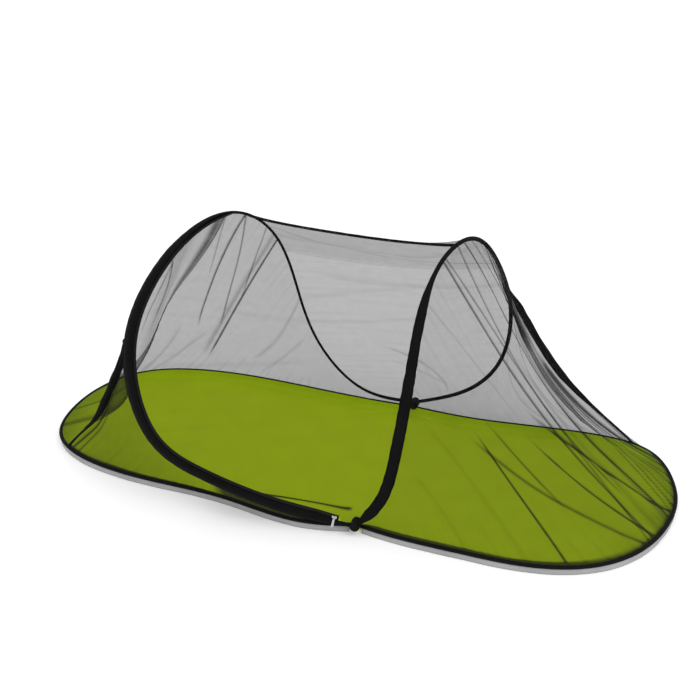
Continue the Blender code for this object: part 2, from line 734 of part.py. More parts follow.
def zip_chain(tent, looks):
    """The zip's low stretch, which opens as a fork below the slider, and the stretch above it."""
    path = tent.zip
    depths = (-ZIP_CHAIN_HALF_DEPTH, -ZIP_TAPE_THICKNESS / 2, ZIP_TAPE_THICKNESS / 2, ZIP_CHAIN_HALF_DEPTH)
    chain, fork = ZIP_CHAIN_HALF_WIDTH, ZIP_FORK_HALF_WIDTH
    across = (None, -chain, -fork, fork, chain, None)
    half_gap = GAP / path.arch.length

    split = ZIP_SPLIT_SHARE
    for name, first, last, fork_end, pivot in (
        ("door_zip_low", ZIP_START_SHARE, split - half_gap, SLIDER_SHARE, tent.door_zip_pivot),
        ("door_zip_high", split + half_gap, ZIP_END_SHARE, 0, tent.head_arch_pivot),
    ):
        shares = path.arch.stretch(first, last)
        if fork_end:
            shares = np.unique(np.concatenate([shares, (shares[1:] + shares[:-1]) / 2, [fork_end]]))
        edges = path.edges(shares)
        frames = [path.frame(share) for share in shares] if fork_end else []
        ways = path.arch.ways(shares)

        def place(i, j, k):
            on_band, on_net = edges[0][i], edges[1][i]
            if frames:
                middle, way, out, outward = frames[i]
            else:
                middle, out = (on_band + on_net) / 2, unit(on_net - on_band)
                outward = unit(np.cross(out, ways[i]))
            flat = on_band if j == 0 else on_net if j == len(across) - 1 else middle + out * across[j]
            return flat + outward * depths[k]

        def filled(i, j, k):
            if j in (0, len(across) - 2):
                return k == 1
            if shares[i] < fork_end:
                return k == 1 and j != 2
            return True

        counts = (len(shares) - 1, len(across) - 1, len(depths) - 1)
        cells(name, counts, filled, place, looks["nylon"], pivot)


def from_boxes(name, boxes, place, finish, pivot):
    """One closed solid from boxes that touch or overlap, each three (low, high) pairs."""
    lines = [sorted({value for box in boxes for value in box[axis]}) for axis in range(3)]
    middles = [[(low + high) / 2 for low, high in zip(line, line[1:])] for line in lines]

    def filled(*index):
        spot = [middles[axis][index[axis]] for axis in range(3)]
        return any(all(low < at < high for (low, high), at in zip(box, spot)) for box in boxes)

    def corner(*index):
        return place(*(lines[axis][index[axis]] for axis in range(3)))

    cells(name, [len(line) - 1 for line in lines], filled, corner, finish, pivot)


def slider_and_pull(tent, looks):
    """Slider with its two plates, neck, flanges and bridge, and the pull that hangs in the bridge."""
    middle, way, out, outward = tent.zip.frame(SLIDER_SHARE)
    half = SLIDER_LENGTH / 2
    inside = ZIP_CHAIN_HALF_DEPTH + SLIDER_CLEARANCE
    outside = inside + SLIDER_PLATE
    lip = ZIP_TAPE_THICKNESS / 2 + SLIDER_CLEARANCE
    channel = ZIP_CHAIN_HALF_WIDTH + SLIDER_CLEARANCE
    neck = ZIP_FORK_HALF_WIDTH - SLIDER_CLEARANCE
    hole = PULL_THICKNESS / 2 + SLIDER_CLEARANCE
    leg = hole + BRIDGE_THICKNESS
    bar = outside + hole
    along, bridge = (-half, half), (-BRIDGE_HALF_LENGTH, BRIDGE_HALF_LENGTH)

    def both(side, near, far):
        return tuple(sorted((side * near, side * far)))

    boxes = [((-NECK_END, -NECK_START), (-neck, neck), (-inside, inside))]
    for side in (-1, 1):
        boxes.append((along, (-SLIDER_HALF_WIDTH, SLIDER_HALF_WIDTH), both(side, inside, outside)))
        for edge in (-1, 1):
            boxes.append((along, both(edge, channel, SLIDER_HALF_WIDTH), both(side, lip, inside)))
        boxes.append((bridge, both(side, hole, leg), (outside, bar + leg)))
    boxes.append((bridge, (-leg, leg), (bar + hole, bar + leg)))

    def on_slider(along, across, up):
        if abs(across) == SLIDER_HALF_WIDTH:
            tail = (along + half) / SLIDER_LENGTH
            across *= 1 - tail * (1 - SLIDER_TAIL_HALF_WIDTH / SLIDER_HALF_WIDTH)
        return middle + way * along + out * across + outward * up

    from_boxes("zip_slider", boxes, on_slider, looks["metal"], tent.slider_pivot)

    lean = math.radians(PULL_LEAN)
    down = -out * math.cos(lean) + outward * math.sin(lean)
    face = np.cross(way, down)
    rail_start = BRIDGE_HALF_LENGTH + SLIDER_CLEARANCE
    rail_end = rail_start + PULL_RAIL_WIDTH
    half = PULL_THICKNESS / 2
    boxes = [
        ((-rail_end, rail_end), (-half, half), (-half, half)),
        ((-rail_end, -rail_start), (-half, PULL_WINDOW + PULL_RAIL_WIDTH), (-half, half)),
        ((rail_start, rail_end), (-half, PULL_WINDOW + PULL_RAIL_WIDTH), (-half, half)),
        ((-rail_end, rail_end), (PULL_WINDOW, PULL_LENGTH), (-half, half)),
    ]
    centre = middle + outward * bar

    def on_pull(along, length, depth):
        if length == PULL_LENGTH:
            along *= PULL_TIP_HALF_WIDTH / rail_end
        return centre + way * along + down * length + face * depth

    from_boxes("zip_pull", boxes, on_pull, looks["metal"], tent.pull_pivot)


def roof_edges(tent, shares, thickness):
    """Edges of a sheet across the roof, at shares of the head arch and the facing shares of the other."""
    head, foot = tent.head_arch, tent.foot_arch
    facing = head.facing(shares)
    out = head.to_roof(shares)
    back = foot.to_roof(facing)
    room = seat(thickness) + (seat(ZIP_TAPE_THICKNESS) + ZIP_TAPE_WIDTH) * net_margin(shares)[:, None]
    start = head.at(shares) + out * (head.reach(shares, out) + room)
    end = foot.at(facing) + back * (foot.reach(facing, back) + seat(thickness))
    return start, end


def sagging(tent, grid, shares):
    """A roof sheet with the ridge's own sag, which dies away from the ridge."""
    rows = np.linspace(0, 1, NET_ROWS + 1)[:, None]
    near = np.clip(1 - np.abs(shares - tent.head_arch.ridge_share) / RIDGE_SAG_REACH_SHARE, 0, 1)
    grid[..., 2] -= RIDGE_SAG * np.sin(math.pi * rows) * near * near
    return grid


def roof_nets(tent, looks):
    """Door net before the ridge, back net behind it, and the ridge tape between them."""
    pivot = tent.foot_arch_pivot
    head = tent.head_arch
    half_tape = RIDGE_TAPE_WIDTH / 2 / head.length
    gap = (GAP + RIDGE_TAPE_THICKNESS / 2) / head.length
    ridge = head.ridge_share
    for name, first, last in (
        ("door_net", NET_START_SHARE, ridge - half_tape - gap),
        ("back_net", ridge + half_tape + gap, 1 - NET_START_SHARE),
    ):
        shares = head.stretch(first, last)
        edges = roof_edges(tent, shares, NET_THICKNESS)
        grid = hung_net(*edges, waves_between(first, last), ROOF_FOLD_SHARE)
        panel(name, sagging(tent, grid, shares), NET_THICKNESS, looks["net"], pivot)
    shares = np.array((ridge - half_tape, ridge + half_tape))
    edges = roof_edges(tent, shares, RIDGE_TAPE_THICKNESS)
    grid = sagging(tent, hung_net(*edges, 0, 0), shares)
    panel("ridge_tape", grid, RIDGE_TAPE_THICKNESS, looks["fabric"], pivot)


def main():
    clear_scene()
    looks = {
        "fabric": material("black_fabric", BLACK_FABRIC),
        "net": material("black_net", BLACK_NET),
        "green": material("green_floor", GREEN_FLOOR),
        "silver": material("silver_hem", SILVER_HEM),
        "rod": material("spring_steel", SPRING_STEEL),
        "ferrule": material("ferrule_steel", FERRULE_STEEL),
        "metal": material("zip_metal", ZIP_METAL),
        "nylon": material("zip_nylon", ZIP_NYLON),
    }
    tent = Tent()
    floor_halves(tent, looks)
    arches(tent, looks)
    pinch_pockets(tent, looks)
    end_nets(tent, looks)
    roof_nets(tent, looks)
    zip_chain(tent, looks)
    slider_and_pull(tent, looks)


main()
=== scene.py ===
"""Looks of the mosquito net tent: cloth, net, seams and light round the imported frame."""

import math
from collections import namedtuple

import bmesh
import bpy
import numpy as np
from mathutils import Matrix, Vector, noise


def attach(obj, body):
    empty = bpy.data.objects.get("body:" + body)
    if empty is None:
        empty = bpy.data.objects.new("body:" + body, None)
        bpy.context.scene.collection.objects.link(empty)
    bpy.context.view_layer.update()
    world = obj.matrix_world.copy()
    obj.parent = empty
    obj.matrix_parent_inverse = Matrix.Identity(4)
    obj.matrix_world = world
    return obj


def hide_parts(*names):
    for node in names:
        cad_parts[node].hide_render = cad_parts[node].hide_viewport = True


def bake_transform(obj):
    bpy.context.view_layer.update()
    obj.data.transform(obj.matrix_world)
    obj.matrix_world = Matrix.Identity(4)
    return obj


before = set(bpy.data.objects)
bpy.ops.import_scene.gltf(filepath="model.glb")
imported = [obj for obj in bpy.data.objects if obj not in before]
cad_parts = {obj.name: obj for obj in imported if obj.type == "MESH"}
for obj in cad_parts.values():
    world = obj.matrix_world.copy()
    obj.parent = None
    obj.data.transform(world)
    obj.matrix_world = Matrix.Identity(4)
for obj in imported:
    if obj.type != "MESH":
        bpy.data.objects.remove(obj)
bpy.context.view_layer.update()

# Driving sizes in metres, as in the CAD
HEAD_REACH = 1.213
FOOT_REACH = 0.99
HALF_WIDTH = 0.528
ARCH_HEIGHT = 0.9
RING_Z = 0.026
HINGE_RISE = 0.01
HINGE_X = (HEAD_REACH - FOOT_REACH) / 2
HINGE_Z = RING_Z + HINGE_RISE
SLEEVE = 0.0065
BAND = 0.019
GAP = 0.0004

# Where the rings stand at the front and the back pinch
FLOOR_PINCH = (0.8106 * HALF_WIDTH, 0.8087 * HALF_WIDTH)
ARCH_PINCH = (0.8636 * HALF_WIDTH, 0.8561 * HALF_WIDTH)

# Outlines from the front pinch to the back pinch, as shares of the reach, the half width and the arch height
HEAD_FLOOR_SHARES = [
    (0.17, -0.847), (0.4, -0.693), (0.65, -0.591), (0.86, -0.427), (0.97, -0.182), (1, 0.145),
    (0.975, 0.534), (0.88, 0.861), (0.7, 0.994), (0.46, 0.964), (0.2, 0.861),
]
FOOT_FLOOR_SHARES = [
    (0.14, -0.888), (0.36, -0.959), (0.56, -1), (0.76, -0.928), (0.92, -0.652), (0.997, -0.182),
    (0.982, 0.176), (0.9, 0.534), (0.76, 0.687), (0.5, 0.728), (0.22, 0.739),
]
HEAD_ARCH_SHARES = [
    (0.21, -0.908, 0.067), (0.415, -0.928, 0.16), (0.55, -0.923, 0.28), (0.615, -0.877, 0.56),
    (0.585, -0.755, 0.8), (0.51, -0.448, 0.965), (0.42, -0.069, 0.985), (0.347, 0.248, 0.82),
    (0.318, 0.534, 0.5), (0.273, 0.759, 0.22), (0.157, 0.861, 0.037),
]
FOOT_ARCH_SHARES = [
    (0.08, -0.841, 0.117), (0.13, -0.829, 0.32), (0.167, -0.775, 0.62), (0.203, -0.489, 0.915),
    (0.278, -0.034, 0.96), (0.338, 0.309, 0.79), (0.362, 0.631, 0.51), (0.313, 0.8, 0.245),
    (0.19, 0.856, 0.09),
]

# Where things stand along a half ring, as shares of its length
HEAD_RIDGE_SHARE = 0.585
FOOT_RIDGE_SHARE = 0.445
HEAD_SEAM_SHARE = 0.36
FOOT_SEAM_SHARE = 0.668
NET_START_SHARE = 0.009
ZIP_START_SHARE = 0.0185
ZIP_SLIDER_SHARE = 0.0235
ZIP_END_SHARE = 0.543
ZIP_MARGIN_SHARE = 0.58

UP = np.array((0.0, 0.0, 1.0))
IN_PLAN = (1, 1, 0)
FULL_TURN = 2 * math.pi


def unit(v):
    return v / np.maximum(np.linalg.norm(v, axis=-1, keepdims=True), 1e-12)


def dot(a, b):
    return np.sum(a * b, axis=-1, keepdims=True)


def square_to(v, along):
    return unit(v - dot(v, along) * along)


def ease(x):
    x = np.clip(x, 0, 1)
    return x * x * (3 - 2 * x)


def bell(off):
    return np.exp(-(off**2))


def circle(sides):
    return np.linspace(0, FULL_TURN, sides, endpoint=False)


def oval(angle, half_width, half_depth):
    return np.stack([half_width * np.cos(angle), half_depth * np.sin(angle)], -1)


def lengths(path):
    """Length along a path up to each of its points."""
    return np.concatenate([[0.0], np.cumsum(np.linalg.norm(np.diff(path, axis=0), axis=1))])


SPLINE_STEPS = 60
RING_SAMPLES = 1201
WAY_STEP_SHARE = 0.008


def spline(points):
    """Natural cubic spline through the points, dense."""
    p = np.array(points, float)
    n = len(p) - 1
    h = np.sqrt(np.linalg.norm(np.diff(p, axis=0), axis=1))
    a, r = np.eye(n + 1), np.zeros_like(p)
    for i in range(1, n):
        a[i, i - 1], a[i, i], a[i, i + 1] = h[i - 1], 2 * (h[i - 1] + h[i]), h[i]
        r[i] = 6 * ((p[i + 1] - p[i]) / h[i] - (p[i] - p[i - 1]) / h[i - 1])
    m = np.linalg.solve(a, r)
    out = []
    for i in range(n):
        t = np.linspace(0, 1, SPLINE_STEPS, endpoint=False)[:, None]
        b, f = (1 - t) * h[i], t * h[i]
        out.append((m[i] * b**3 + m[i + 1] * f**3) / (6 * h[i])
                   + (p[i] / h[i] - m[i] * h[i] / 6) * b + (p[i + 1] / h[i] - m[i + 1] * h[i] / 6) * f)
    return np.concatenate([*out, p[-1:]])


class Ring:
    """Half a ring in a round sleeve, from the front pinch to the back pinch. Shares are of its length."""

    def __init__(self, shares, reach, pinch, rise):
        route = [(HINGE_X, -pinch[0], RING_Z + rise)]
        for share in shares:
            z = share[2] * ARCH_HEIGHT if len(share) > 2 else 0
            route.append((HINGE_X + share[0] * reach, share[1] * HALF_WIDTH, RING_Z + z))
        route.append((HINGE_X, pinch[1], RING_Z + rise))
        path = spline(route)
        along = lengths(path)
        self.length = along[-1]
        self.s = np.linspace(0, 1, RING_SAMPLES)
        self.p = np.stack([np.interp(self.s * self.length, along, path[:, k]) for k in range(3)], -1)

    def at(self, s):
        return np.stack([np.interp(s, self.s, self.p[:, k]) for k in range(3)], -1)

    def way(self, s):
        return unit(self.at(np.minimum(s + WAY_STEP_SHARE, 1)) - self.at(np.maximum(s - WAY_STEP_SHARE, 0)))

    def wide(self, s):
        return np.broadcast_to(UP, (len(s), 3))

    def half_width(self, s):
        return np.full(len(s), SLEEVE)

    half_depth = half_width


# An arch's cover. Thin is its half width and depth behind the ridge, and the taper is a length
Cover = namedtuple("Cover", "band_end_share slim_share thin pinch_taper")
BACK_TAPER = 0.3
RIDGE_TAPER = 0.16
SLIM_START_SHARE = 0.18
SLIM_RUN_SHARE = 0.16

# How the net hangs on one side of the slope seam. It is deepest halfway down where low is 1, else lower
NetSag = namedtuple("NetSag", "deep spread low")
# The slope: drift and bow of its seam to the back, and how slack seam and net hang
Slope = namedtuple("Slope", "drift_share bow_share seam_sag front behind")
SEAM_SPREAD_SHARE = 0.12
SEAM_HOLD_SHARE = 0.05
SEAM_SAG_POWER = 1.3
PINCH_HOLD_SHARE = 0.1
BOW_TOP_SHARE = 0.3
BOW_FADE_SHARE = 0.5


class Arch(Ring):
    """Ring over the tent. Its cover is a wide band in front and a thin sleeve behind the ridge."""

    def __init__(self, shares, reach, ridge, floor, seam, cover, slope):
        super().__init__(shares, reach, ARCH_PINCH, HINGE_RISE)
        self.ridge, self.floor, self.seam = ridge, floor, seam
        self.cover, self.hang = cover, slope
        self.other = None

    def facing(self, s):
        """Share of the other arch that faces this one's."""
        o = self.other.ridge
        return np.where(s < self.ridge, s / self.ridge * o, o + (s - self.ridge) / (1 - self.ridge) * (1 - o))

    def to_roof(self, s):
        return square_to(self.other.at(self.facing(s)) - self.at(s), self.way(s))

    def to_floor(self, s):
        return square_to(self.floor.at(s) - self.at(s), self.way(s))

    def wide(self, s):
        return unit(self.to_floor(s) - self.to_roof(s))

    def cover_size(self, s, on_band):
        """A measure of the cover: the sleeve's at the pinches, this one on the band, thin at the back."""
        thin = self.cover.thin
        pinch = ease(np.minimum(s / self.cover.pinch_taper, (1 - s) / BACK_TAPER) * self.length)
        band = ease((self.cover.band_end_share - s) * self.length / RIDGE_TAPER)
        return SLEEVE + (thin + (on_band - thin) * band - SLEEVE) * pinch

    def half_width(self, s):
        slimmer = ease((s - SLIM_START_SHARE) / SLIM_RUN_SHARE)
        return self.cover_size(s, BAND * (1 - self.cover.slim_share * slimmer))

    def half_depth(self, s):
        return self.cover_size(s, SLEEVE)

    def reach(self, s, towards):
        """How far the cover reaches from the ring in these directions."""
        wide = self.wide(s)
        deep = np.cross(self.way(s), wide)
        a = dot(towards, wide)[:, 0] / self.half_width(s)
        b = dot(towards, deep)[:, 0] / self.half_depth(s)
        return (1 / np.hypot(a, b))[:, None]

    def near_seam(self, s):
        return bell((s - self.seam) / SEAM_SPREAD_SHARE)

    def floor_share(self, s):
        """Where the net from this share of the arch meets the rim."""
        near = self.near_seam(s) * ease(np.minimum(s, 1 - s) / PINCH_HOLD_SHARE)
        return s + self.hang.drift_share * near

    def net_edges(self, s):
        """Edges of an end net: under the arch's cover and on the floor binding."""
        down = self.to_floor(s)
        upper = self.at(s) + down * (self.reach(s, down) + GAP)
        foot = self.floor_share(s)
        up = square_to(self.at(s) - self.floor.at(foot), self.floor.way(foot))
        return upper, self.floor.at(foot) + up * (SLEEVE + GAP)

    def slope(self, s, rows):
        """The slope from the arch to the rim, with its bowed seam and its hanging net."""
        upper, lower = self.net_edges(s)
        high = ease(rows / BOW_TOP_SHARE) * (1 - ease((rows - BOW_TOP_SHARE) / BOW_FADE_SHARE))
        bowed = s[None] + self.hang.bow_share * self.near_seam(s)[None] * high
        from_arch = self.at(bowed) + (upper - self.at(s))[None]
        foot = self.floor.at(self.floor_share(bowed))
        from_floor = foot + (lower - self.floor.at(self.floor_share(s)))[None]
        down = rows[..., None]
        return from_arch * (1 - down) + from_floor * down + self.slope_sag(s[None], rows)

    def inwards(self):
        """Direction in which the slope sags, square to the slope at its seam."""
        at = np.array([self.seam])
        down = self.floor.at(self.floor_share(at)) - self.at(at)
        normal = unit(np.cross(self.way(at), down))[0]
        return normal * np.sign(np.dot(normal, (HINGE_X, 0, 0) - self.at(at)[0]))

    def slope_sag(self, s, rows):
        """The seam hangs slack, and the net on its two sides hangs as each NetSag says."""
        off = s - self.seam
        beside = ease(np.abs(off) / SEAM_HOLD_SHARE)
        beyond = np.maximum(np.abs(off) - SEAM_HOLD_SHARE, 0) * self.length
        pairs = zip(self.hang.front, self.hang.behind)
        deep, spread, low = (np.where(off > 0, behind, front) for front, behind in pairs)
        seam_sag = self.hang.seam_sag * np.sin(math.pi * rows) ** SEAM_SAG_POWER
        net_sag = deep * np.sin(math.pi * rows**low)
        sag = bell(beyond / spread) * (seam_sag * (1 - beside) + net_sag * beside)
        return self.inwards() * sag[..., None]


head_floor = Ring(HEAD_FLOOR_SHARES, -HEAD_REACH, FLOOR_PINCH, 0)
foot_floor = Ring(FOOT_FLOOR_SHARES, FOOT_REACH, FLOOR_PINCH, 0)
head_arch = Arch(
    HEAD_ARCH_SHARES, -HEAD_REACH, HEAD_RIDGE_SHARE, head_floor, HEAD_SEAM_SHARE,
    Cover(band_end_share=0.58, slim_share=-0.1, thin=0.0046, pinch_taper=0.13),
    Slope(drift_share=0.033, bow_share=0.038, seam_sag=0.063,
          front=NetSag(0.058, 0.3, 1.0), behind=NetSag(0.15, 0.45, 2.4)))
foot_arch = Arch(
    FOOT_ARCH_SHARES, FOOT_REACH, FOOT_RIDGE_SHARE, foot_floor, FOOT_SEAM_SHARE,
    Cover(band_end_share=0.388, slim_share=0.2, thin=0.0072, pinch_taper=0.075),
    Slope(drift_share=0.012, bow_share=0.006, seam_sag=0.04,
          front=NetSag(0.11, 0.6, 1.0), behind=NetSag(0.06, 0.34, 1.0)))
head_arch.other, foot_arch.other = foot_arch, head_arch

# The tent's halves fold like a fan about the line through the pinches. A point turns by 0.95 of its angle
# above the foot half, as the four bodies do. Each body is listed with its angle, and the nets are cut at the
# two arches' angles.
FAN = [("foot_floor", 0.0), ("foot_arch", 77.0), ("head_arch", 117.0), ("head_floor", 180.0)]
FOOT_PAIR, MIDDLE_PAIR, HEAD_PAIR = range(3)
CUT_TOLERANCE = 1e-6


def coords(obj):
    out = np.zeros(len(obj.data.vertices) * 3, np.float32)
    obj.data.vertices.foreach_get("co", out)
    return out.reshape(-1, 3).astype(float)


def follow(obj):
    """Bakes a piece's transform into its mesh."""
    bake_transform(obj)


def fan_piece(obj):
    """Reads a piece's points and bakes its transform into its mesh."""
    points = coords(obj)
    follow(obj)


def fan_cuts():
    """Planes through the fold line at the angles of the two arches."""
    for _, degrees in FAN[1:3]:
        a = math.radians(degrees)
        yield Vector((HINGE_X, 0, HINGE_Z)), Vector((-math.sin(a), 0, math.cos(a)))


def in_scene(name, data):
    obj = bpy.data.objects.new(name, data)
    bpy.context.collection.objects.link(obj)
    return obj


def split(obj, cuts):
    """Parts of a mesh between parallel or fanned cuts, each a (point, normal) pair."""
    out = []
    for i in range(len(cuts) + 1):
        work = bmesh.new()
        work.from_mesh(obj.data)
        for j, (point, normal) in enumerate(cuts):
            geom = work.verts[:] + work.edges[:] + work.faces[:]
            if j in (i - 1, i):
                bmesh.ops.bisect_plane(work, geom=geom, dist=CUT_TOLERANCE, plane_co=point, plane_no=normal,
                                       clear_inner=j == i - 1, clear_outer=j == i)
        data = bpy.data.meshes.new(f"{obj.name}_{i + 1}")
        work.to_mesh(data)
        work.free()
        for material in obj.data.materials:
            data.materials.append(material)
        out.append(in_scene(f"{obj.name}_{i + 1}", data))
    bpy.data.objects.remove(obj, do_unlink=True)
    return out


# Meshes. Each carries a map called cloth, in metres, for the weave.
WRINKLE_SHIFT = np.array((1.0, -1.0, 0.37))
SIDE_SAMPLES = 12


def new_object(name, verts, faces, uvs, material, cover=None):
    """A smooth mesh. Map places, and a net's cover, are per vertex."""
    data = bpy.data.meshes.new(name)
    data.from_pydata([tuple(v) for v in verts], [], faces)
    layer = data.uv_layers.new(name="cloth")
    loops = np.zeros(len(data.loops), np.int32)
    data.loops.foreach_get("vertex_index", loops)
    layer.data.foreach_set("uv", np.asarray(uvs, np.float32)[loops].ravel())
    if cover is not None:
        made = data.attributes.new("cover", "FLOAT", "POINT")
        made.data.foreach_set("value", cover.astype(np.float32).ravel())
    data.shade_smooth()
    data.materials.append(material)
    return in_scene(name, data)


def grid_object(name, grid, material, cover=None):
    """An open sheet over rows and columns of points."""
    rows, cols = grid.shape[:2]
    across = lengths(grid[rows // 2])
    down = np.mean([lengths(grid[:, c]) for c in range(0, cols, cols // SIDE_SAMPLES)], axis=0)
    uv = np.stack(np.meshgrid(across, down), -1)
    index = np.arange(rows * cols).reshape(rows, cols)
    faces = np.stack([index[:-1, :-1], index[1:, :-1], index[1:, 1:], index[:-1, 1:]], -1).reshape(-1, 4)
    return new_object(name, grid.reshape(-1, 3), faces.tolist(), uv.reshape(-1, 2), material, cover)


def loft(name, path, wide, deep, section, material):
    """A closed skin over sections: section is (stations, sides, 2) offsets along wide and deep."""
    n, k = section.shape[:2]
    rings = path[:, None] + wide[:, None] * section[..., :1] + deep[:, None] * section[..., 1:]
    uv = np.stack(np.meshgrid(lengths(path), lengths(rings[n // 2]), indexing="ij"), -1)
    index = np.arange(n * k).reshape(n, k)
    after = np.roll(index, -1, axis=1)
    faces = np.stack([index[:-1], after[:-1], after[1:], index[1:]], -1).reshape(-1, 4).tolist()
    faces.append(index[0][::-1].tolist())
    faces.append(index[-1].tolist())
    return new_object(name, rings.reshape(-1, 3), faces, uv.reshape(-1, 2), material)


def middle_of(grid):
    """Middle line of a three-column strip, with its ways across and out."""
    path = grid[:, 1]
    wide = unit(np.gradient(grid, axis=1)[:, 1])
    return path, wide, unit(np.cross(unit(np.gradient(path, axis=0)), wide))


def wrinkle(points, scale, seed):
    """Smooth noise from about -1 to 1 at each point, with hollows of about this scale."""
    places = points.reshape(-1, 3) / scale + seed * WRINKLE_SHIFT
    return np.array([noise.noise(Vector(place)) for place in places]).reshape(points.shape[:-1])


# Section of a sleeve: its points across, as shares of the half width, and where a wide one is stitched
BAND_SHARES = np.array((
    1.0, 0.965, 0.9, 0.84, 0.8, 0.76, 0.66, 0.5, 0.3, 0.1, -0.1, -0.3, -0.5, -0.66, -0.76, -0.8, -0.84, -0.9,
    -0.965))
STITCH_LINE_SHARE, STITCH_WIDTH_SHARE, STITCH_DEPTH = 0.8, 0.035, 0.0006
FLANGE, EDGE_FROM_SHARE, EDGE_THIN_SHARE = 0.0011, 0.99, 0.45
# Half width at which a sleeve begins to lie flat, and how much wider it is when it does
FLAT_FROM, FLAT_RUN = 0.0075, 0.008
# How the edge is drawn in, where the puckers lie across, and how the sleeve sways
DRAWN_SHARE, DRAWN_SCALE, DRAWN_SEEDS = 0.07, 0.021, (20, 21)
PUCKER_SHARES, PUCKER_WIDTH_SHARE, PUCKER_CALM_SHARE = (-0.75, 0.0, 0.75), 0.3, 0.2
PUCKER_SCALE, PUCKER_STEP = 0.016, 0.013
SWAY, SWAY_SCALE, SWAY_SEED = 0.0006, 0.05, 9
ROD_ROUND_POWER = 0.8


def sleeve_section(half_width, half_depth, path, pucker, seed):
    """Sleeve round a rod: flat, with a stitched flange on each side, where it is wide."""
    half_width, half_depth = half_width[:, None], half_depth[:, None]
    x = np.concatenate([BAND_SHARES, -BAND_SHARES])
    side = np.repeat((1.0, -1.0), len(BAND_SHARES))
    flat = ease((half_width - FLAT_FROM) / FLAT_RUN)
    right, left = (wrinkle(path, DRAWN_SCALE, seed + shift)[:, None] for shift in DRAWN_SEEDS)
    width = half_width * (1 + DRAWN_SHARE * flat * np.where(x > 0, right, left))
    round_one = half_depth * np.sqrt(np.maximum(1 - x**2, 0))
    rod = half_depth * np.clip(1 - (np.abs(x) / STITCH_LINE_SHARE) ** 2, 0, 1) ** ROD_ROUND_POWER
    stitches = STITCH_DEPTH * bell((np.abs(x) - STITCH_LINE_SHARE) / STITCH_WIDTH_SHARE)
    edge = FLANGE * np.where(np.abs(x) > EDGE_FROM_SHARE, EDGE_THIN_SHARE, 1.0)
    flat_one = np.maximum(rod, edge) - stitches
    y = (round_one * (1 - flat) + flat_one * flat) * side
    count = len(PUCKER_SHARES)
    waves = np.stack([wrinkle(path + k * PUCKER_STEP * UP, PUCKER_SCALE, seed + k) for k in range(count)], -1)
    across = np.stack([bell((x - share) / PUCKER_WIDTH_SHARE) for share in PUCKER_SHARES], -1)
    relief = (waves[:, None] * across[None]).sum(-1) * pucker * (1 - PUCKER_CALM_SHARE * flat)
    sway = wrinkle(path, SWAY_SCALE, seed + SWAY_SEED)[:, None] * SWAY * flat
    return np.stack([x * width, y + relief * side + sway], -1)


def sleeve(name, ring, first, last, step, material, pucker, seed):
    """The ring's cover between two shares, with a station about every step."""
    s = np.linspace(first, last, int((last - first) * ring.length / step))
    way = ring.way(s)
    wide = square_to(ring.wide(s), way)
    path = ring.at(s)
    section = sleeve_section(ring.half_width(s), ring.half_depth(s), path, pucker, seed)
    return loft(name, path, wide, np.cross(way, wide), section, material)


# Materials
PATCH_SCALE, PATCH_DETAIL, PATCH_WEIGHT = 9.0, 4.0, 0.7
FINE_SCALE, FINE_DETAIL, FINE_WEIGHT = 160.0, 2.0, 0.3
CREASE_DETAIL = 3.0
ROUGH_SPREAD, WEAVE_STRENGTH, CREASE_STRENGTH = 0.08, 0.6, 0.7
NET_SOFT_SCALE, NET_SOFT_DETAIL = 26.0, 2.0
NET_LIGHTER, NET_MOST_COVER = 1.6, 0.93
NET_ROUGHNESS, NET_SPECULAR = 0.9, 0.1
PATCH_RANGE, FINE_RANGE = (0.35, 0.65), (0.3, 0.7)
WEAVE_COVER, UNEVEN_COVER = (0.88, 1.12), (0.97, 1.03)


def nodes_of(name):
    made = bpy.data.materials.new(name)
    made.use_nodes = True
    tree = made.node_tree
    return made, tree, tree.nodes["Principled BSDF"]


def plug(tree, made, inputs):
    """Links or sets these inputs of a node."""
    for key, value in inputs:
        if hasattr(value, "links"):
            tree.links.new(value, made.inputs[key])
        else:
            made.inputs[key].default_value = value


def node(tree, kind, inputs=(), **settings):
    made = tree.nodes.new(kind)
    for key, value in settings.items():
        setattr(made, key, value)
    plug(tree, made, inputs)
    return made


def math_node(tree, operation, a, b=0.0):
    return node(tree, "ShaderNodeMath", [(0, a), (1, b)], operation=operation).outputs[0]


def weave_height(tree, thread):
    """Plain weave of crossing threads, with that spacing in metres."""
    uv = node(tree, "ShaderNodeUVMap", uv_map="cloth").outputs[0]
    place = node(tree, "ShaderNodeSeparateXYZ", [(0, uv)]).outputs
    turn = FULL_TURN / thread
    waves = [math_node(tree, "SINE", math_node(tree, "MULTIPLY", place[k], turn)) for k in (0, 1)]
    return math_node(tree, "MULTIPLY", *waves)


def mix_colour(tree, factor, a, b):
    return node(tree, "ShaderNodeMix", [(0, factor), (6, (*a, 1)), (7, (*b, 1))], data_type="RGBA").outputs[2]


def mapped(tree, value, low, high, to_low, to_high):
    made = node(tree, "ShaderNodeMapRange", [(0, value), (1, low), (2, high), (3, to_low), (4, to_high)])
    return made.outputs[0]


def noise_of(tree, scale, detail):
    place = node(tree, "ShaderNodeTexCoord").outputs["Object"]
    made = node(tree, "ShaderNodeTexNoise", [("Vector", place), ("Scale", scale), ("Detail", detail)])
    return made.outputs[0]


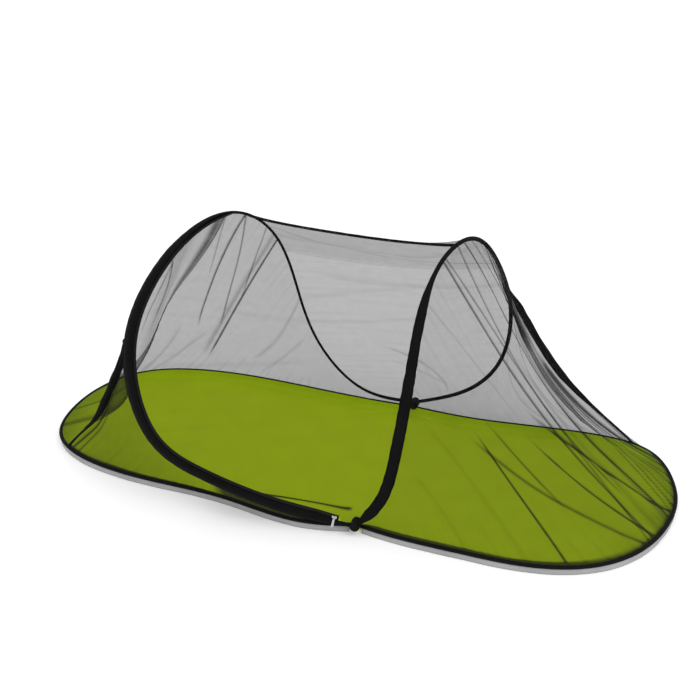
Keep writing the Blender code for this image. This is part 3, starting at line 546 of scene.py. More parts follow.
def woven(name, dark, light, roughness, specular, thread, weave_depth, crease_depth, crease_scale,
          metallic=0.0):
    """Woven cloth between two colours, with a thread in metres, and soft creases."""
    made, tree, shader = nodes_of(name)
    patch = noise_of(tree, PATCH_SCALE, PATCH_DETAIL)
    fine = noise_of(tree, FINE_SCALE, FINE_DETAIL)
    both = math_node(tree, "ADD", math_node(tree, "MULTIPLY", patch, PATCH_WEIGHT),
                     math_node(tree, "MULTIPLY", fine, FINE_WEIGHT))
    colour = mix_colour(tree, mapped(tree, both, *PATCH_RANGE, 0, 1), dark, light)
    rough = mapped(tree, fine, *FINE_RANGE, roughness - ROUGH_SPREAD, roughness + ROUGH_SPREAD)
    weave = node(tree, "ShaderNodeBump", [("Strength", WEAVE_STRENGTH), ("Distance", weave_depth),
                                          ("Height", weave_height(tree, thread))])
    crease = node(tree, "ShaderNodeBump", [("Strength", CREASE_STRENGTH), ("Distance", crease_depth),
                                           ("Height", noise_of(tree, crease_scale, CREASE_DETAIL)),
                                           ("Normal", weave.outputs[0])])
    plug(tree, shader, [("Base Color", colour), ("Roughness", rough), ("Specular IOR Level", specular),
                        ("Metallic", metallic), ("Normal", crease.outputs[0])])
    return made


def net_material(name, colour, cover, thread):
    """Sheer mesh: mostly holes, denser where it is gathered or lies in a fold, and darker under bands of
    painted shade.
    """
    made, tree, shader = nodes_of(name)
    soft = noise_of(tree, NET_SOFT_SCALE, NET_SOFT_DETAIL)
    lighter = tuple(c * NET_LIGHTER for c in colour)
    colour = mix_colour(tree, soft, colour, lighter)
    density = node(tree, "ShaderNodeAttribute", attribute_name="cover").outputs["Fac"]
    weave = mapped(tree, weave_height(tree, thread), -1, 1, *WEAVE_COVER)
    uneven = mapped(tree, soft, *FINE_RANGE, *UNEVEN_COVER)
    alpha = math_node(tree, "MULTIPLY", math_node(tree, "MULTIPLY", density, cover),
                      math_node(tree, "MULTIPLY", weave, uneven))
    alpha = math_node(tree, "MINIMUM", alpha, NET_MOST_COVER)
    plug(tree, shader, [("Base Color", colour), ("Roughness", NET_ROUGHNESS), ("Alpha", alpha),
                        ("Specular IOR Level", NET_SPECULAR)])
    return made


# Each cloth: dark and light colour, roughness, specular, thread, depth of weave and creases, crease scale
black = woven(
    "black_band_cloth", (0.0022, 0.0022, 0.0024), (0.0045, 0.0045, 0.0048), 0.85, 0.1,
    0.0011, 0.00012, 0.0008, 60.0)
binding_black = woven(
    "black_binding_tape", (0.0026, 0.0026, 0.0028), (0.0055, 0.0055, 0.0058), 0.8, 0.12,
    0.0013, 0.00015, 0.0006, 90.0)
green = woven(
    "green_coated_cloth", (0.55, 0.735, 0.004), (0.6, 0.8, 0.006), 0.7, 0.08, 0.0016, 0.0001, 0.002, 14.0)
silver = woven(
    "silver_hem_cloth", (0.37, 0.37, 0.375), (0.47, 0.47, 0.475), 0.5, 0.35, 0.0014, 0.00012, 0.0012, 40.0)
net = net_material("black_mesh", (0.006, 0.006, 0.0066), cover=0.38, thread=0.0018)
tape_black = woven(
    "black_seam_tape", (0.0022, 0.0022, 0.0024), (0.0045, 0.0045, 0.0048), 0.85, 0.1,
    0.001, 0.00012, 0.0005, 120.0)
zip_black = woven(
    "zip_black_tape", (0.003, 0.003, 0.0032), (0.006, 0.006, 0.0063), 0.7, 0.18,
    0.0009, 0.0001, 0.0004, 150.0)
coil_black = woven(
    "zip_black_coil", (0.006, 0.006, 0.006), (0.01, 0.01, 0.0105), 0.55, 0.2, 0.0006, 0.00005, 0.0002, 300.0)
zip_metal = woven(
    "zip_slider_metal", (0.42, 0.42, 0.43), (0.55, 0.55, 0.56), 0.34, 0.5,
    0.003, 0.00003, 0.0002, 220.0, metallic=1.0)

# Covers of the rods: step between stations, cloth, depth of puckers, and seed of the noise
RIM_COVER = (0.008, binding_black, 0.00035, 3.0)
BAND_COVER = (0.005, black, 0.0004, 1.0)
THIN_COVER = (0.006, black, 0.0003, 2.0)

# Floor: binding and hem
RIM_ENDS_SHARES = (0.006, 0.994)
FLOOR_RODS = {
    "head": ("head_floor_rod",),
    "foot": ("foot_floor_rod_front", "foot_floor_rod_back", "foot_floor_ferrule"),
}
HEM_ENDS_SHARES = (0.008, 0.992)
HEM_COLUMNS, HEM_ROWS = 420, 7
HEM_TUCK = 0.0004
HEM_LIFT = 0.0002
HEM_BULGE, HEM_FLARE = 0.0014, 0.0018
# Depth, scale and seed of each ripple, as for the wrinkles of the groundsheet
HEM_RIPPLES = ((0.0016, 0.09, 5.0), (0.0006, 0.025, 6.0))
HEM_TOP_CALM_SHARE = 0.7
HEM_THICKNESS = 0.0006


def hem_wall(side, ring):
    """Stands under the binding, bulges a little, and turns out at the ground."""
    s = np.linspace(*HEM_ENDS_SHARES, HEM_COLUMNS)
    out = unit(np.cross(ring.way(s) * IN_PLAN, UP)) * (1 if side == "foot" else -1)
    path = ring.at(s) * IN_PLAN
    rows = np.linspace(0, 1, HEM_ROWS)[:, None]
    top = RING_Z - SLEEVE + HEM_TUCK
    ripple = sum(depth * wrinkle(path, scale, seed) for depth, scale, seed in HEM_RIPPLES)
    bulge = np.sin(math.pi * rows) * HEM_BULGE + (1 - rows) ** 2 * HEM_FLARE
    push = bulge + ripple[None] * (1 - rows * HEM_TOP_CALM_SHARE)
    grid = path[None] + out[None] * push[..., None] + UP * (rows * top + HEM_LIFT)[..., None]
    made = grid_object(f"{side}_hem_wall", grid, silver)
    made.modifiers.new("thickness", "SOLIDIFY").thickness = HEM_THICKNESS
    return made


for side, ring, body in (("head", head_floor, "head_floor"), ("foot", foot_floor, "foot_floor")):
    made = sleeve(f"{side}_floor_rim", ring, *RIM_ENDS_SHARES, *RIM_COVER)
    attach(made, body)
    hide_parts(f"{side}_floor_binding", *FLOOR_RODS[side])
    made = hem_wall(side, ring)
    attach(made, body)
    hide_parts(f"{side}_floor_hem")

# Groundsheet: by the rim it turns up over the inside of the binding. Inset from the ring, and height:
FLOOR_LIP = [
    (0.024, 0.0004), (0.016, 0.001), (0.0115, 0.0038), (0.009, 0.0095), (0.0076, 0.0165), (0.0071, 0.023),
    (0.0071, 0.0275), (0.0062, 0.0302),
]
SHEET_COLUMNS, SHEET_ROWS = 260, 34
SHEET_LIFT = 0.0004
SHEET_SLACK, SHEET_CALM = 0.0014, 0.02
SHEET_WRINKLES = ((0.001, 0.16, 2.0), (0.0006, 0.05, 4.0))
# Creases that fan out of each pinch: their start across the tent, and their reach
PINCH_CREASES = ((-0.42, 0.34), (0.42, 0.3))
CREASE_WAVES, CREASE_TURN, CREASE_SHARPNESS = 13, 0.6, 8
CREASE_HEIGHT, CREASE_START = 0.003, 0.05
# The strip beside the fold line, where the floor creases, cut off each half
FOLD_HALF, FOLD_SPLIT_SHARE, FOLD_LENGTH = 0.045, 0.4, 0.86


def groundsheet_half(ring, out):
    """Half the groundsheet, from the fold line to the rim."""
    s = np.linspace(0.0, 1.0, SHEET_COLUMNS)
    path = ring.at(s) * IN_PLAN
    inward = unit(np.cross(unit(ring.way(s) * IN_PLAN), UP)) * -out
    lip = []
    for inset, height in FLOOR_LIP:
        row = path + inward * inset
        row[[0, -1], 0] = HINGE_X
        lip.append(row + UP * height)
    start = lip[0] * IN_PLAN
    middle_y = start[0, 1] + (start[-1, 1] - start[0, 1]) * s
    middle = np.stack([np.full_like(s, HINGE_X), middle_y, np.zeros_like(s)], -1)
    t = np.linspace(0, 1, SHEET_ROWS)[:, None, None]
    flat = middle * (1 - t) + start * t
    from_lip = (1 - t[..., 0]) * np.linalg.norm(start - middle, axis=1)
    slack = SHEET_SLACK + sum(depth * wrinkle(flat, scale, seed) for depth, scale, seed in SHEET_WRINKLES)
    for y, reach in PINCH_CREASES:
        dx, dy = flat[..., 0] - HINGE_X, flat[..., 1] - y
        far = np.hypot(dx, dy)
        turn = np.arctan2(dx, -np.sign(y) * dy)
        fan = np.cos(turn * CREASE_WAVES + CREASE_TURN * np.sign(y)) ** CREASE_SHARPNESS
        slack += CREASE_HEIGHT * fan * ease(far / CREASE_START) * ease(1 - far / reach)
    flat[..., 2] = SHEET_LIFT + np.maximum(slack, 0.0) * ease(from_lip / SHEET_CALM)
    return np.concatenate([flat[:-1], np.stack(lip)])


for side, ring, out in (("head", head_floor, -1), ("foot", foot_floor, 1)):
    made = grid_object(f"{side}_groundsheet_cloth", groundsheet_half(ring, out)[::out], green)
    parts = split(made, [(Vector((HINGE_X + out * FOLD_HALF, 0, 0)), Vector((1, 0, 0)))])
    inner, outer = parts[::out]
    outer.name = f"{side}_floor_cloth"
    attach(outer, f"{side}_floor")
    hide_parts(f"{side}_groundsheet")
    inner.name = f"{side}_floor_crease"
    # the crease is cut into a strip for each pair beside it: one on the foot half, two on the head half
    places = (HINGE_X - FOLD_HALF, HINGE_X - FOLD_SPLIT_SHARE * FOLD_HALF, HINGE_X, HINGE_X + FOLD_HALF)
    if side == "foot":
        strips = [(FOOT_PAIR, inner)]
    else:
        cut = (Vector((places[1], 0, 0)), Vector((-1, 0, 0)))
        strips = zip((MIDDLE_PAIR, HEAD_PAIR), split(inner, [cut]))
    for pair, piece in strips:
        points = coords(piece)
        piece.name = f"{side}_floor_crease_{pair}"
        follow(piece)
        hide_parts(f"{side}_groundsheet")
    wide, long = (round(float(extent), 2) for extent in np.ptp(coords(outer)[:, :2], axis=0))

# Arches
ARCH_START_SHARE, ARCH_END_SHARE, ARCH_LAP_SHARE = 0.004, 0.996, 0.0015
ARCH_RODS = {
    "head": (("head_arch_rod",), ()),
    "foot": (("foot_arch_rod_front", "foot_arch_ferrule"), ("foot_arch_rod_back",)),
}
for side, arch, pair in (("foot", foot_arch, FOOT_PAIR), ("head", head_arch, HEAD_PAIR)):
    front_rods, back_rods = ARCH_RODS[side]
    made = sleeve(f"{side}_arch_band", arch, ARCH_START_SHARE, arch.ridge, *BAND_COVER)
    fan_piece(made)
    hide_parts(f"{side}_arch_front_band", *front_rods)
    made = sleeve(f"{side}_arch_sleeve", arch, arch.ridge - ARCH_LAP_SHARE, ARCH_END_SHARE, *THIN_COVER)
    fan_piece(made)
    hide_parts(f"{side}_arch_back_sleeve", *back_rods)

# Pinch pockets
POCKET_RADIUS = 0.0165
POCKET_OVERHANG = 0.013
POCKET_STATIONS, POCKET_SIDES = 34, 44
POCKET_END_SHARE = 0.14
POCKET_NARROW = 0.28
POCKET_STITCH_SHARES, POCKET_STITCH_WIDTH_SHARE, POCKET_STITCH_DEPTH = (0.2, 0.8), 0.03, 0.05
POCKET_PLEATS, GATHER_DEPTH = 11, 0.035
GATHER_STRAY, GATHER_RATE, GATHER_CALM = 1.3, 6, 0.5


def pinch_pocket(name, inner, outer, way):
    """A gathered pocket round the crossing rings, drawn in at its ends and stitches."""
    t = np.linspace(0, 1, POCKET_STATIONS)
    y = way * (inner - POCKET_OVERHANG + (outer - inner + 2 * POCKET_OVERHANG) * t)
    path = np.stack([np.full_like(t, HINGE_X), y, np.full_like(t, HINGE_Z)], -1)
    angle = circle(POCKET_SIDES)
    ends = np.minimum(ease(t / POCKET_END_SHARE), ease((1 - t) / POCKET_END_SHARE))
    body = 1 - POCKET_NARROW * (1 - ends)
    for share in POCKET_STITCH_SHARES:
        body = body - POCKET_STITCH_DEPTH * bell((t - share) / POCKET_STITCH_WIDTH_SHARE)
    t = t[:, None]
    pleats = np.sin(angle[None] * POCKET_PLEATS + GATHER_STRAY * np.sin(GATHER_RATE * t))
    gather = 1 + GATHER_DEPTH * pleats * (1 - GATHER_CALM * np.sin(math.pi * t))
    radius = POCKET_RADIUS * body[:, None] * gather
    section = oval(angle, radius, radius)
    wide = np.broadcast_to(UP, path.shape)
    return loft(f"{name}_cloth", path, wide, np.cross((0, way, 0), wide), section, binding_black)


for part, inner, outer, way in zip(("front", "back"), FLOOR_PINCH, ARCH_PINCH, (-1.0, 1.0)):
    name = f"{part}_pinch_pocket"
    made = pinch_pocket(name, inner, outer, way)
    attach(made, "foot_floor")
    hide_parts(name)

# Door zip
ZIP_TAPE = 0.016
ZIP_TAPE_THICKNESS = 0.0008
ZIP_TAPE_STATIONS, ZIP_TAPE_POINTS = 320, 9
ZIP_CUT_SHARE = 0.002
ZIP_TUCK = 0.0022
ZIP_RIPPLE, ZIP_RIPPLE_SCALE = 0.0006, 0.03
ZIP_STOP_SHARE = 0.004
ZIP_PITCH = 0.002
COIL_HALF_WIDTH, COIL_HALF_DEPTH = 0.0024, 0.0011
COIL_SIDES, COIL_TURN, COIL_BEAD = 10, 0.3, 0.16
BEAD_STATIONS = 4


def tape_width(s):
    """Width of the tape, which is cut off by the pinch and runs out below the ridge."""
    run_out = ease((s - ZIP_END_SHARE) / (ZIP_MARGIN_SHARE - ZIP_END_SHARE))
    return ZIP_TAPE * ease((s - ZIP_START_SHARE) / ZIP_CUT_SHARE + 1) * (1 - run_out)


def tape_place(s, across):
    """Points on the tape at this distance from the band, and the way out of the band."""
    out = head_arch.to_roof(s)
    return head_arch.at(s) + out * (head_arch.reach(s, out) + GAP + across[:, None]), out


def zip_tape():
    s = np.linspace(ZIP_START_SHARE, ZIP_MARGIN_SHARE, ZIP_TAPE_STATIONS)
    width = tape_width(s) + ZIP_TUCK
    path, out = tape_place(s, width / 2 - ZIP_TUCK)
    across = np.linspace(-0.5, 0.5, ZIP_TAPE_POINTS)
    across = np.concatenate([across, across[::-1]])
    side = np.repeat((1.0, -1.0), ZIP_TAPE_POINTS)
    ripple = wrinkle(path, ZIP_RIPPLE_SCALE, seed=12.0)[:, None] * ZIP_RIPPLE * (1 - (2 * across) ** 2)
    section = np.stack([across * width[:, None], side * ZIP_TAPE_THICKNESS / 2 + ripple], -1)
    return loft("door_zip_tape", path, out, np.cross(head_arch.way(s), out), section, zip_black)


def zip_coil():
    """A bead for each turn of the coil, from the slider to the top stop."""
    last = ZIP_END_SHARE - ZIP_STOP_SHARE
    metres = (last - ZIP_SLIDER_SHARE) * head_arch.length
    s = np.linspace(ZIP_SLIDER_SHARE, last, int(metres / ZIP_PITCH * BEAD_STATIONS))
    path, out = tape_place(s, np.full(len(s), ZIP_TAPE / 2))
    angle = circle(COIL_SIDES) + COIL_TURN
    bead = 1 + COIL_BEAD * np.sin(np.arange(len(s)) * FULL_TURN / BEAD_STATIONS)[:, None]
    section = oval(angle, COIL_HALF_WIDTH * bead, COIL_HALF_DEPTH * bead)
    return loft("door_zip_coil", path, out, np.cross(head_arch.way(s), out), section, coil_black)


for made in (zip_tape(), zip_coil()):
    fan_piece(made)
    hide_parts("door_zip_low", "door_zip_high")
for name in ("zip_slider", "zip_pull"):
    bpy.data.objects[name].data.materials[0] = zip_metal

# Each entry is a fold pulled into the net by tension, where the net lies denser, or a wide soft band of
# painted shade that darkens the net. Each runs from a share of the arch, past one halfway down, to one at the
# net's foot.
# Then its half width in metres, how much denser or darker it is, and the rows between which it shows.
FOLDS_AND_SHADE = {
    "head_front": [
        (0.352, 0.35, 0.352, 0.005, 1.4, 0.1, 1), (0.34, 0.344, 0.34, 0.0035, 0.9, 0.3, 1),
        # painted shade: a band 0.3 m in half width that darkens much of the head front net
        (0.3, 0.3, 0.3, 0.3, 0.22, 0, 1),
    ],
    "head_back": [
        (0.547, 0.51, 0.33, 0.022, 1.1, 0, 0.75), (0.555, 0.518, 0.338, 0.005, 0.9, 0, 0.75),
        (0.5, 0.48, 0.4, 0.06, 0.35, 0, 0.7), (0.472, 0.466, 0.3, 0.0045, 0.9, 0, 0.5),
        (0.5, 0.44, 0.37, 0.006, 0.8, 0.05, 0.5), (0.557, 0.61, 0.664, 0.003, 0.7, 0, 0.35),
        (0.586, 0.622, 0.732, 0.005, 1.3, 0, 0.65), (0.587, 0.665, 0.711, 0.0036, 1.1, 0, 0.6),
        (0.627, 0.689, 0.75, 0.0036, 0.8, 0, 0.4), (0.654, 0.678, 0.705, 0.005, 1.4, 0, 0.85),
        (0.644, 0.668, 0.695, 0.012, 0.5, 0, 0.85), (0.561, 0.592, 0.623, 0.014, 0.3, 0.55, 1),
        (0.707, 0.672, 0.638, 0.01, 0.3, 0.6, 1), (0.4, 0.405, 0.425, 0.02, 0.8, 0.5, 1),
        (0.44, 0.45, 0.48, 0.012, 0.7, 0.6, 1), (0.5, 0.51, 0.54, 0.01, 0.8, 0.7, 1),
        (0.76, 0.77, 0.74, 0.008, 0.3, 0, 0.8), (0.82, 0.8, 0.78, 0.007, 0.25, 0.1, 0.9),
    ],
    "foot_front": [
        (0.281, 0.286, 0.276, 0.0036, 1.9, 0.35, 1), (0.24, 0.289, 0.394, 0.007, 1.0, 0.35, 1),
        (0.29, 0.324, 0.341, 0.0036, 1.1, 0.35, 0.8), (0.287, 0.362, 0.416, 0.005, 1.5, 0.5, 1),
        (0.407, 0.429, 0.411, 0.0045, 1.3, 0, 1), (0.414, 0.443, 0.401, 0.0034, 1.0, 0, 1),
        (0.304, 0.412, 0.481, 0.0065, 1.4, 0.45, 1), (0.448, 0.444, 0.434, 0.0036, 1.1, 0, 0.9),
        (0.466, 0.513, 0.467, 0.004, 1.6, 0, 1), (0.501, 0.516, 0.46, 0.018, 0.55, 0.2, 1),
        (0.422, 0.458, 0.432, 0.014, 0.35, 0.3, 1), (0.487, 0.568, 0.479, 0.0036, 1.2, 0, 1),
        (0.595, 0.602, 0.496, 0.0036, 1.5, 0.4, 1), (0.51, 0.59, 0.515, 0.0034, 1.1, 0, 1),
        (0.53, 0.61, 0.548, 0.004, 1.2, 0, 1), (0.526, 0.501, 0.329, 0.005, 1.8, 0, 0.34),
        (0.54, 0.545, 0.5, 0.006, 1.2, 0, 0.34), (0.556, 0.575, 0.56, 0.016, 1.5, 0, 0.34),
        (0.574, 0.595, 0.585, 0.016, 1.9, 0, 0.34), (0.592, 0.61, 0.6, 0.016, 2.0, 0, 0.34),
        (0.608, 0.622, 0.615, 0.014, 2.0, 0, 0.34), (0.622, 0.632, 0.628, 0.012, 1.8, 0, 0.34),
        (0.596, 0.625, 0.568, 0.0036, 1.1, 0.3, 1), (0.609, 0.632, 0.595, 0.0045, 1.4, 0.3, 1),
        (0.617, 0.636, 0.61, 0.005, 1.5, 0.3, 1), (0.624, 0.638, 0.617, 0.006, 1.6, 0.3, 1),
        (0.34, 0.379, 0.397, 0.003, 0.35, 0, 0.5), (0.199, 0.221, 0.225, 0.01, 0.2, 0.1, 1),
        (0.12, 0.142, 0.15, 0.012, 0.18, 0.2, 1),
    ],
    "foot_back": [
        (0.662, 0.668, 0.676, 0.005, 1.0, 0, 1), (0.68, 0.69, 0.7, 0.005, 0.6, 0, 1),
        (0.72, 0.725, 0.73, 0.006, 0.3, 0, 1), (0.8, 0.79, 0.77, 0.008, 0.25, 0, 0.9),
    ],
    "door": [
        (0.1, 0.045, 0.06, 0.015, 2.6, 0, 0.75), (0.33, 0.335, 0.35, 0.012, 0.15, 0, 0.7),
        (0.43, 0.4, 0.42, 0.01, 0.12, 0.2, 1),
    ],
    "back": [
        (0.674, 0.691, 0.706, 0.0022, 0.5, 0, 1), (0.622, 0.664, 0.697, 0.0026, 0.5, 0, 1),
        (0.7, 0.73, 0.74, 0.016, 0.16, 0.1, 1), (0.83, 0.866, 0.99, 0.006, 0.5, 0.3, 0.9),
        (0.85, 0.885, 0.96, 0.004, 0.3, 0.35, 0.8), (0.64, 0.645, 0.65, 0.02, 0.12, 0, 1),
        (0.76, 0.74, 0.76, 0.014, 0.12, 0, 0.6),
    ],
}
FOLD_RELIEF, FOLD_WIDEST = 0.55, 0.009
FOLD_FADE_SHARE, FOLD_EDGE_RATE = 0.15, 12

# How a net hangs: its rows, how far it draws in, its broad waves, and how calm it is near its ends
NET_ROWS = np.linspace(0, 1, 89)[:, None]
NET_DRAW_IN, NET_WAVE, NET_WAVES = 0.02, 0.009, 10
NET_CALM_SHARE = 0.12
# Fine pleats, the sum of two waves that stray, and how they fade from the edges
PLEAT_LENGTH, PLEAT_STRAY, PLEAT_RATE = 0.031, 3, 9
LONG_LENGTH, LONG_STRAY, LONG_RATE, LONG_SHARE = 0.052, 2, 13, 0.7
PLEAT_FADE_SHARE = 0.22
PLEAT_HEIGHT, PLEAT_LEAST, PLEAT_EDGE_RATE = 0.0016, 0.35, 4
PLEAT_DENSITY, DENSITY_LEAST = 0.1, 0.5


def folded_and_shaded(shares, rows, length, folds_and_shade):
    """Push of each fold, in metres, and the extra density that the fold lines and the bands of painted shade
    give the net.
    """
    push, density = 0.0, 0.0
    for top, middle, foot, width, dark, start, stop in folds_and_shade:
        bend = 2 * (top + foot) - 4 * middle
        centre = top + (foot - top - bend) * rows + bend * rows**2
        begun = ease((rows - start) / FOLD_FADE_SHARE + (start <= 0))
        going = ease((stop - rows) / FOLD_FADE_SHARE + (stop >= 1))
        live = bell((shares - centre) * length / width) * begun * going
        push = push + FOLD_RELIEF * min(width, FOLD_WIDEST) * live
        # the wide soft entries darken the net here as painted shade; the narrow ones are denser net in a fold
        density = density + dark * live
    return push * np.clip(np.minimum(rows, 1 - rows) * FOLD_EDGE_RATE, 0, 1), density


def hung(grid, weight, length, shares, folds_and_shade, seed, gather):
    """A hung net from its plain grid, and its density. Gather: how closely its top and foot are pleated."""
    rows = NET_ROWS
    start, end = grid[0], grid[-1]
    normals = unit(np.cross(np.gradient(grid, axis=0), np.gradient(grid, axis=1)))
    inwards = np.sign(dot(normals, (HINGE_X, 0, 0) - grid))
    spread = np.linspace(0, 1, len(start))[None]
    calm = np.clip(np.minimum(spread, 1 - spread) / NET_CALM_SHARE, 0, 1)
    size = np.clip(np.linalg.norm(end - start, axis=1)[None] / HALF_WIDTH, 0, 1) * calm * weight
    waves = round(NET_WAVES * (shares[-1] - shares[0]))
    push = np.sin(math.pi * rows) * size * (NET_DRAW_IN + NET_WAVE * np.sin(FULL_TURN * waves * spread))
    metres = lengths(start)[None]
    turns = metres * FULL_TURN
    stray = LONG_STRAY * np.sin(metres * LONG_RATE)
    pleat = (np.sin(turns / PLEAT_LENGTH + PLEAT_STRAY * np.sin(metres * PLEAT_RATE + seed))
             + LONG_SHARE * np.sin(turns / LONG_LENGTH + seed + stray))
    near_top, near_foot = np.exp(-rows / PLEAT_FADE_SHARE), np.exp(-(1 - rows) / PLEAT_FADE_SHARE)

    def close(least):
        return near_top * (least + gather[0]) + near_foot * (least + gather[1])

    fine = pleat * close(PLEAT_LEAST) * np.minimum(rows, 1 - rows) * PLEAT_EDGE_RATE
    density = 1 + PLEAT_DENSITY * np.clip(pleat, 0, 2) * close(DENSITY_LEAST)
    fold_push, fold_and_shade_density = folded_and_shaded(shares[None], rows, length, folds_and_shade)
    push = push + PLEAT_HEIGHT * fine * calm + fold_push
    return grid + normals * inwards * push[..., None], density + fold_and_shade_density


def declare_net(piece, node_name):
    long = float(np.ptp(coords(piece), axis=0).max())
    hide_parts(node_name)


# End nets. The front ones have a dark hem at the rim, and the head one bunches where the arch comes down.
NET_COVER = {"door": 0.87, "back": 0.95, "head": 1.08, "foot": 1.05}
END_NET_COLUMN, END_NET_GATHER = 0.004, (0.2, 0.5)
NET_HEM, NET_HEM_FADE = 0.014, 0.006
BUNCH_SPAN, BUNCH_FADE = 0.185, 0.04
DOUBLED = 1.5


def end_net(side, part, arch, first, last):
    s = np.linspace(first, last, int((last - first) * arch.length / END_NET_COLUMN))
    grid, density = hung(arch.slope(s, NET_ROWS), 1, arch.length, s, FOLDS_AND_SHADE[f"{side}_{part}"],
                         seed=len(part) + len(side), gather=END_NET_GATHER)
    density = density * NET_COVER[side]
    span = np.linalg.norm(grid[-1] - grid[0], axis=1)[None]
    if part == "front":
        density = density + DOUBLED * ease(((NET_ROWS - 1) * span + NET_HEM) / NET_HEM_FADE)
    if (side, part) == ("head", "front"):
        density = density + DOUBLED * ease((BUNCH_SPAN - span) / BUNCH_FADE)
    return grid_object(f"{side}_end_net_{part}_mesh", grid, net, density)


# Slope seams: a thick gathered roll at the arch, drawn together at the rim
SEAM_ROWS, SEAM_SIDES = 150, 28
SEAM_FOOT = 0.0045
SEAM_THIN_SHARE = 0.7
SEAM_TOP_SHARE, SEAM_TOP_RUN_SHARE = 0.42, 0.1
SEAM_LUMP, SEAM_LUMP_SCALE = 0.14, 0.04
# Pleats twisted along the seam: number round it, turn in radians a metre, and depth
SEAM_PLEATS = ((5, 19, 0.07), (11, -31, 0.03))


def slope_seam(side, arch, roll, thins):
    """The roll is its half width at the arch. It draws in from the share thins."""
    run = np.linspace(0, 1, SEAM_ROWS)[:, None]
    half = roll / arch.length
    path, wide, deep = middle_of(arch.slope(arch.seam + np.linspace(-half, half, 3), run))
    drawn = ease((run - thins) / (1 - thins) / SEAM_THIN_SHARE)
    bulk = SEAM_FOOT + (roll - SEAM_FOOT) * (1 - drawn)
    bulk = bulk * (1 + SEAM_LUMP * wrinkle(path, SEAM_LUMP_SCALE, seed=8.0)[:, None])
    bulk = bulk * (SEAM_TOP_SHARE + (1 - SEAM_TOP_SHARE) * ease(run / SEAM_TOP_RUN_SHARE))
    angle = circle(SEAM_SIDES)
    metres = run * lengths(path)[-1]
    pleats = sum(depth * np.sin(count * angle + metres * rate) for count, rate, depth in SEAM_PLEATS)
    bulk = bulk * (1 + pleats)
    section = oval(angle, bulk, bulk)
    return loft(f"{side}_slope_seam_tape", path, wide, deep, section, tape_black)


# For each slope: half width of its seam's roll, and the share of the slope where it thins
SLOPES = (("head", head_arch, HEAD_PAIR, 0.013, 0.58), ("foot", foot_arch, FOOT_PAIR, 0.0125, 0.42))
for side, arch, pair, roll, thins in SLOPES:
    half = roll / arch.length / 2
    for part, first, last in (("front", NET_START_SHARE / 2, arch.seam - half),
                              ("back", arch.seam + half, 1 - NET_START_SHARE / 2)):
        made = end_net(side, part, arch, first, last)
        fan_piece(made)
        declare_net(made, f"{side}_end_net_{part}")
    made = slope_seam(side, arch, roll, thins)
    fan_piece(made)
    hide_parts(f"{side}_slope_seam")

# Roof: door net before the ridge, back net behind it. They dip at the ridge. The back net hangs below it, all
# the way to the foot arch, and is doubled beside it.
ROOF_COLUMN = 0.005
ROOF_WEIGHT = 0.5
ROOF_GATHER = (0.1, 0.1)
RIDGE_HALF = 0.004
RIDGE_DIP, RIDGE_DIP_POWER, RIDGE_DIP_SHARE = 0.016, 0.6, 0.25
BACK_DIP, BACK_DIP_POWER, BACK_DIP_AT_SHARE, BACK_DIP_SHARE = 0.046, 2.2, 0.64, 0.04
BACK_DOUBLED, DOUBLED_SHARES, DOUBLED_FADE_SHARE = 0.26, (0.674, 0.707), 0.004
# Ridge tape, which binds both nets' rolled edges
TAPE_HALF_WIDTH, TAPE_HALF_DEPTH = 0.006, 0.0046
TAPE_SIDES = 16
TAPE_LUMP, TAPE_LUMP_SCALE = 0.1, 0.03


def roof(s, weight, folds_and_shade, seed, gather):
    """The hung net from the head arch's cover or zip to the foot arch's cover."""
    out = head_arch.to_roof(s)
    facing = head_arch.facing(s)
    back = foot_arch.to_roof(facing)
    start = head_arch.at(s) + out * (head_arch.reach(s, out) + GAP + tape_width(s)[:, None])
    end = foot_arch.at(facing) + back * (foot_arch.reach(facing, back) + GAP)
    rows = NET_ROWS
    grid = start * (1 - rows[..., None]) + end * rows[..., None]
    grid, density = hung(grid, weight, head_arch.length, s, folds_and_shade, seed, gather)
    near = np.clip(1 - np.abs(s - HEAD_RIDGE_SHARE) / RIDGE_DIP_SHARE, 0, 1)[None]
    dip = RIDGE_DIP * np.sin(math.pi * rows**RIDGE_DIP_POWER) * near**2
    behind = bell((s[None] - BACK_DIP_AT_SHARE) / BACK_DIP_SHARE)
    grid[..., 2] -= dip + BACK_DIP * behind * np.sin(math.pi * rows**BACK_DIP_POWER)
    return grid, density


def roof_net(name, first, last):
    s = np.linspace(first, last, int((last - first) * head_arch.length / ROOF_COLUMN))
    grid, density = roof(s, ROOF_WEIGHT, FOLDS_AND_SHADE[name], seed=len(name), gather=ROOF_GATHER)
    density = density * NET_COVER[name]
    if name == "back":
        top, foot = DOUBLED_SHARES
        edge = top + (foot - top) * NET_ROWS
        density = density + BACK_DOUBLED * ease((edge - s[None]) / DOUBLED_FADE_SHARE)
    return grid_object(f"{name}_mesh", grid, net, density)


def ridge_tape(half):
    s = HEAD_RIDGE_SHARE + np.linspace(-half, half, 3)
    path, wide, deep = middle_of(roof(s, 0, (), 0.0, (0.0, 0.0))[0])
    angle = circle(TAPE_SIDES)
    bulk = 1 + TAPE_LUMP * wrinkle(path, TAPE_LUMP_SCALE, seed=4.0)[:, None]
    section = oval(angle, TAPE_HALF_WIDTH * bulk, TAPE_HALF_DEPTH * bulk)
    return loft("ridge_tape_cloth", path, wide, deep, section, tape_black)


half = RIDGE_HALF / head_arch.length
for name, first, last in (("door", NET_START_SHARE, HEAD_RIDGE_SHARE - half),
                          ("back", HEAD_RIDGE_SHARE + half, 1 - NET_START_SHARE)):
    for pair, piece in enumerate(split(roof_net(name, first, last), list(fan_cuts()))):
        fan_piece(piece)
        declare_net(piece, f"{name}_net")
made = ridge_tape(half)
fan_piece(made)
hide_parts("ridge_tape")

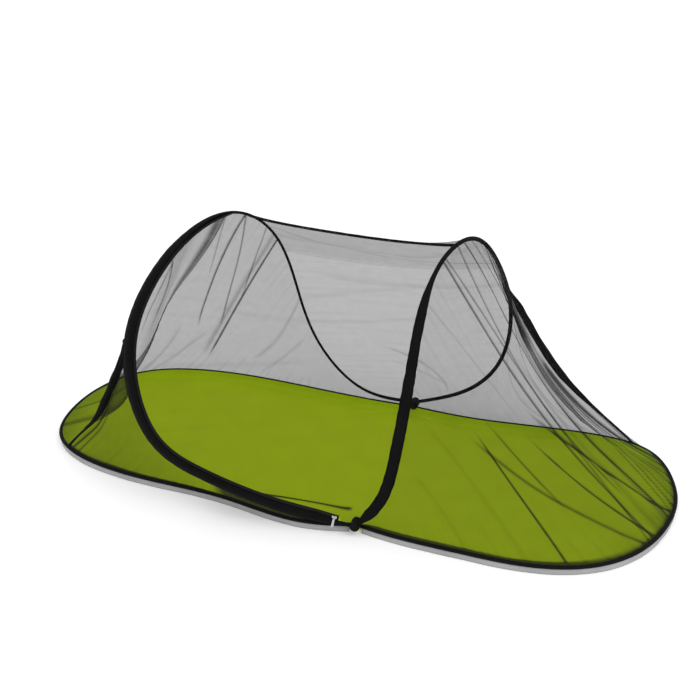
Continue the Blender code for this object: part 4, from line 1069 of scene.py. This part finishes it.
# Camera, from the picture's width and the focal length in its pixels
CAMERA_TARGET = Vector((-0.0248, 0.012, 0.434))
AZIMUTH, ELEVATION = math.radians(14.5), math.radians(25.2507)
CAMERA_DISTANCE = 5.5
SENSOR_WIDTH = 36.0
PICTURE_PIXELS, FOCAL_PIXELS = 700, 1623.9004


def look_at(obj, place, target):
    obj.location = place
    obj.rotation_euler = (target - obj.location).to_track_quat("-Z", "Y").to_euler()


lens = bpy.data.cameras.new("camera")
lens.sensor_width = SENSOR_WIDTH
lens.sensor_fit = "HORIZONTAL"
lens.lens = FOCAL_PIXELS / PICTURE_PIXELS * SENSOR_WIDTH
camera = in_scene("camera", lens)
away = Vector((math.sin(AZIMUTH) * math.cos(ELEVATION),
               -math.cos(AZIMUTH) * math.cos(ELEVATION), math.sin(ELEVATION)))
look_at(camera, CAMERA_TARGET + away * CAMERA_DISTANCE, CAMERA_TARGET)
bpy.context.scene.camera = camera

# White ground and world, a little brighter where seen than where they light the tent
GROUND_HALF, GROUND_DROP = 14, -0.0004
GROUND_LIT, GROUND_SEEN = (0.8, 0.8, 0.8), (0.93, 0.93, 0.93)
GROUND_GLOW = 0.24
WORLD_LIT, WORLD_SEEN = 0.85, 1.0
WHITE = (1, 1, 1, 1)


def seen_directly(tree):
    """1 for a ray from the camera or through a glossy or clear surface, and 0 for light on the tent."""
    rays = node(tree, "ShaderNodeLightPath").outputs
    bounced = math_node(tree, "MAXIMUM", rays["Is Glossy Ray"], rays["Is Transmission Ray"])
    return math_node(tree, "MAXIMUM", rays["Is Camera Ray"], bounced)


def ground_white():
    made, tree, shader = nodes_of("ground_white")
    seen = seen_directly(tree)
    colour = mix_colour(tree, seen, GROUND_LIT, GROUND_SEEN)
    glow = math_node(tree, "MULTIPLY", seen, GROUND_GLOW)
    plug(tree, shader, [("Base Color", colour), ("Roughness", 1.0), ("Specular IOR Level", 0.0),
                        ("Emission Color", WHITE), ("Emission Strength", glow)])
    return made


ground_data = bpy.data.meshes.new("ground")
corners = [(GROUND_HALF * x, GROUND_HALF * y, GROUND_DROP) for x, y in ((-1, -1), (1, -1), (1, 1), (-1, 1))]
ground_data.from_pydata(corners, [], [(0, 1, 2, 3)])
ground = in_scene("ground", ground_data)
ground_data.materials.append(ground_white())

world = bpy.data.worlds.new("studio")
bpy.context.scene.world = world
world.use_nodes = True
tree = world.node_tree
strength = mapped(tree, seen_directly(tree), 0, 1, WORLD_LIT, WORLD_SEEN)
plug(tree, tree.nodes["Background"], [("Color", WHITE), ("Strength", strength)])

# Lamps: name, place, size and power
LAMPS = (("key", (2.3, -2.7, 3.4), 2.6, 50.0), ("fill", (-2.8, -1.6, 2.8), 2.4, 12.0))
LAMP_TARGET = Vector((0, 0, 0.2))
for name, place, size, power in LAMPS:
    lamp = bpy.data.lights.new(name, "AREA")
    lamp.shape, lamp.size, lamp.energy = "DISK", size, power
    look_at(in_scene(name, lamp), Vector(place), LAMP_TARGET)

bpy.context.scene.view_settings.view_transform = "Standard"
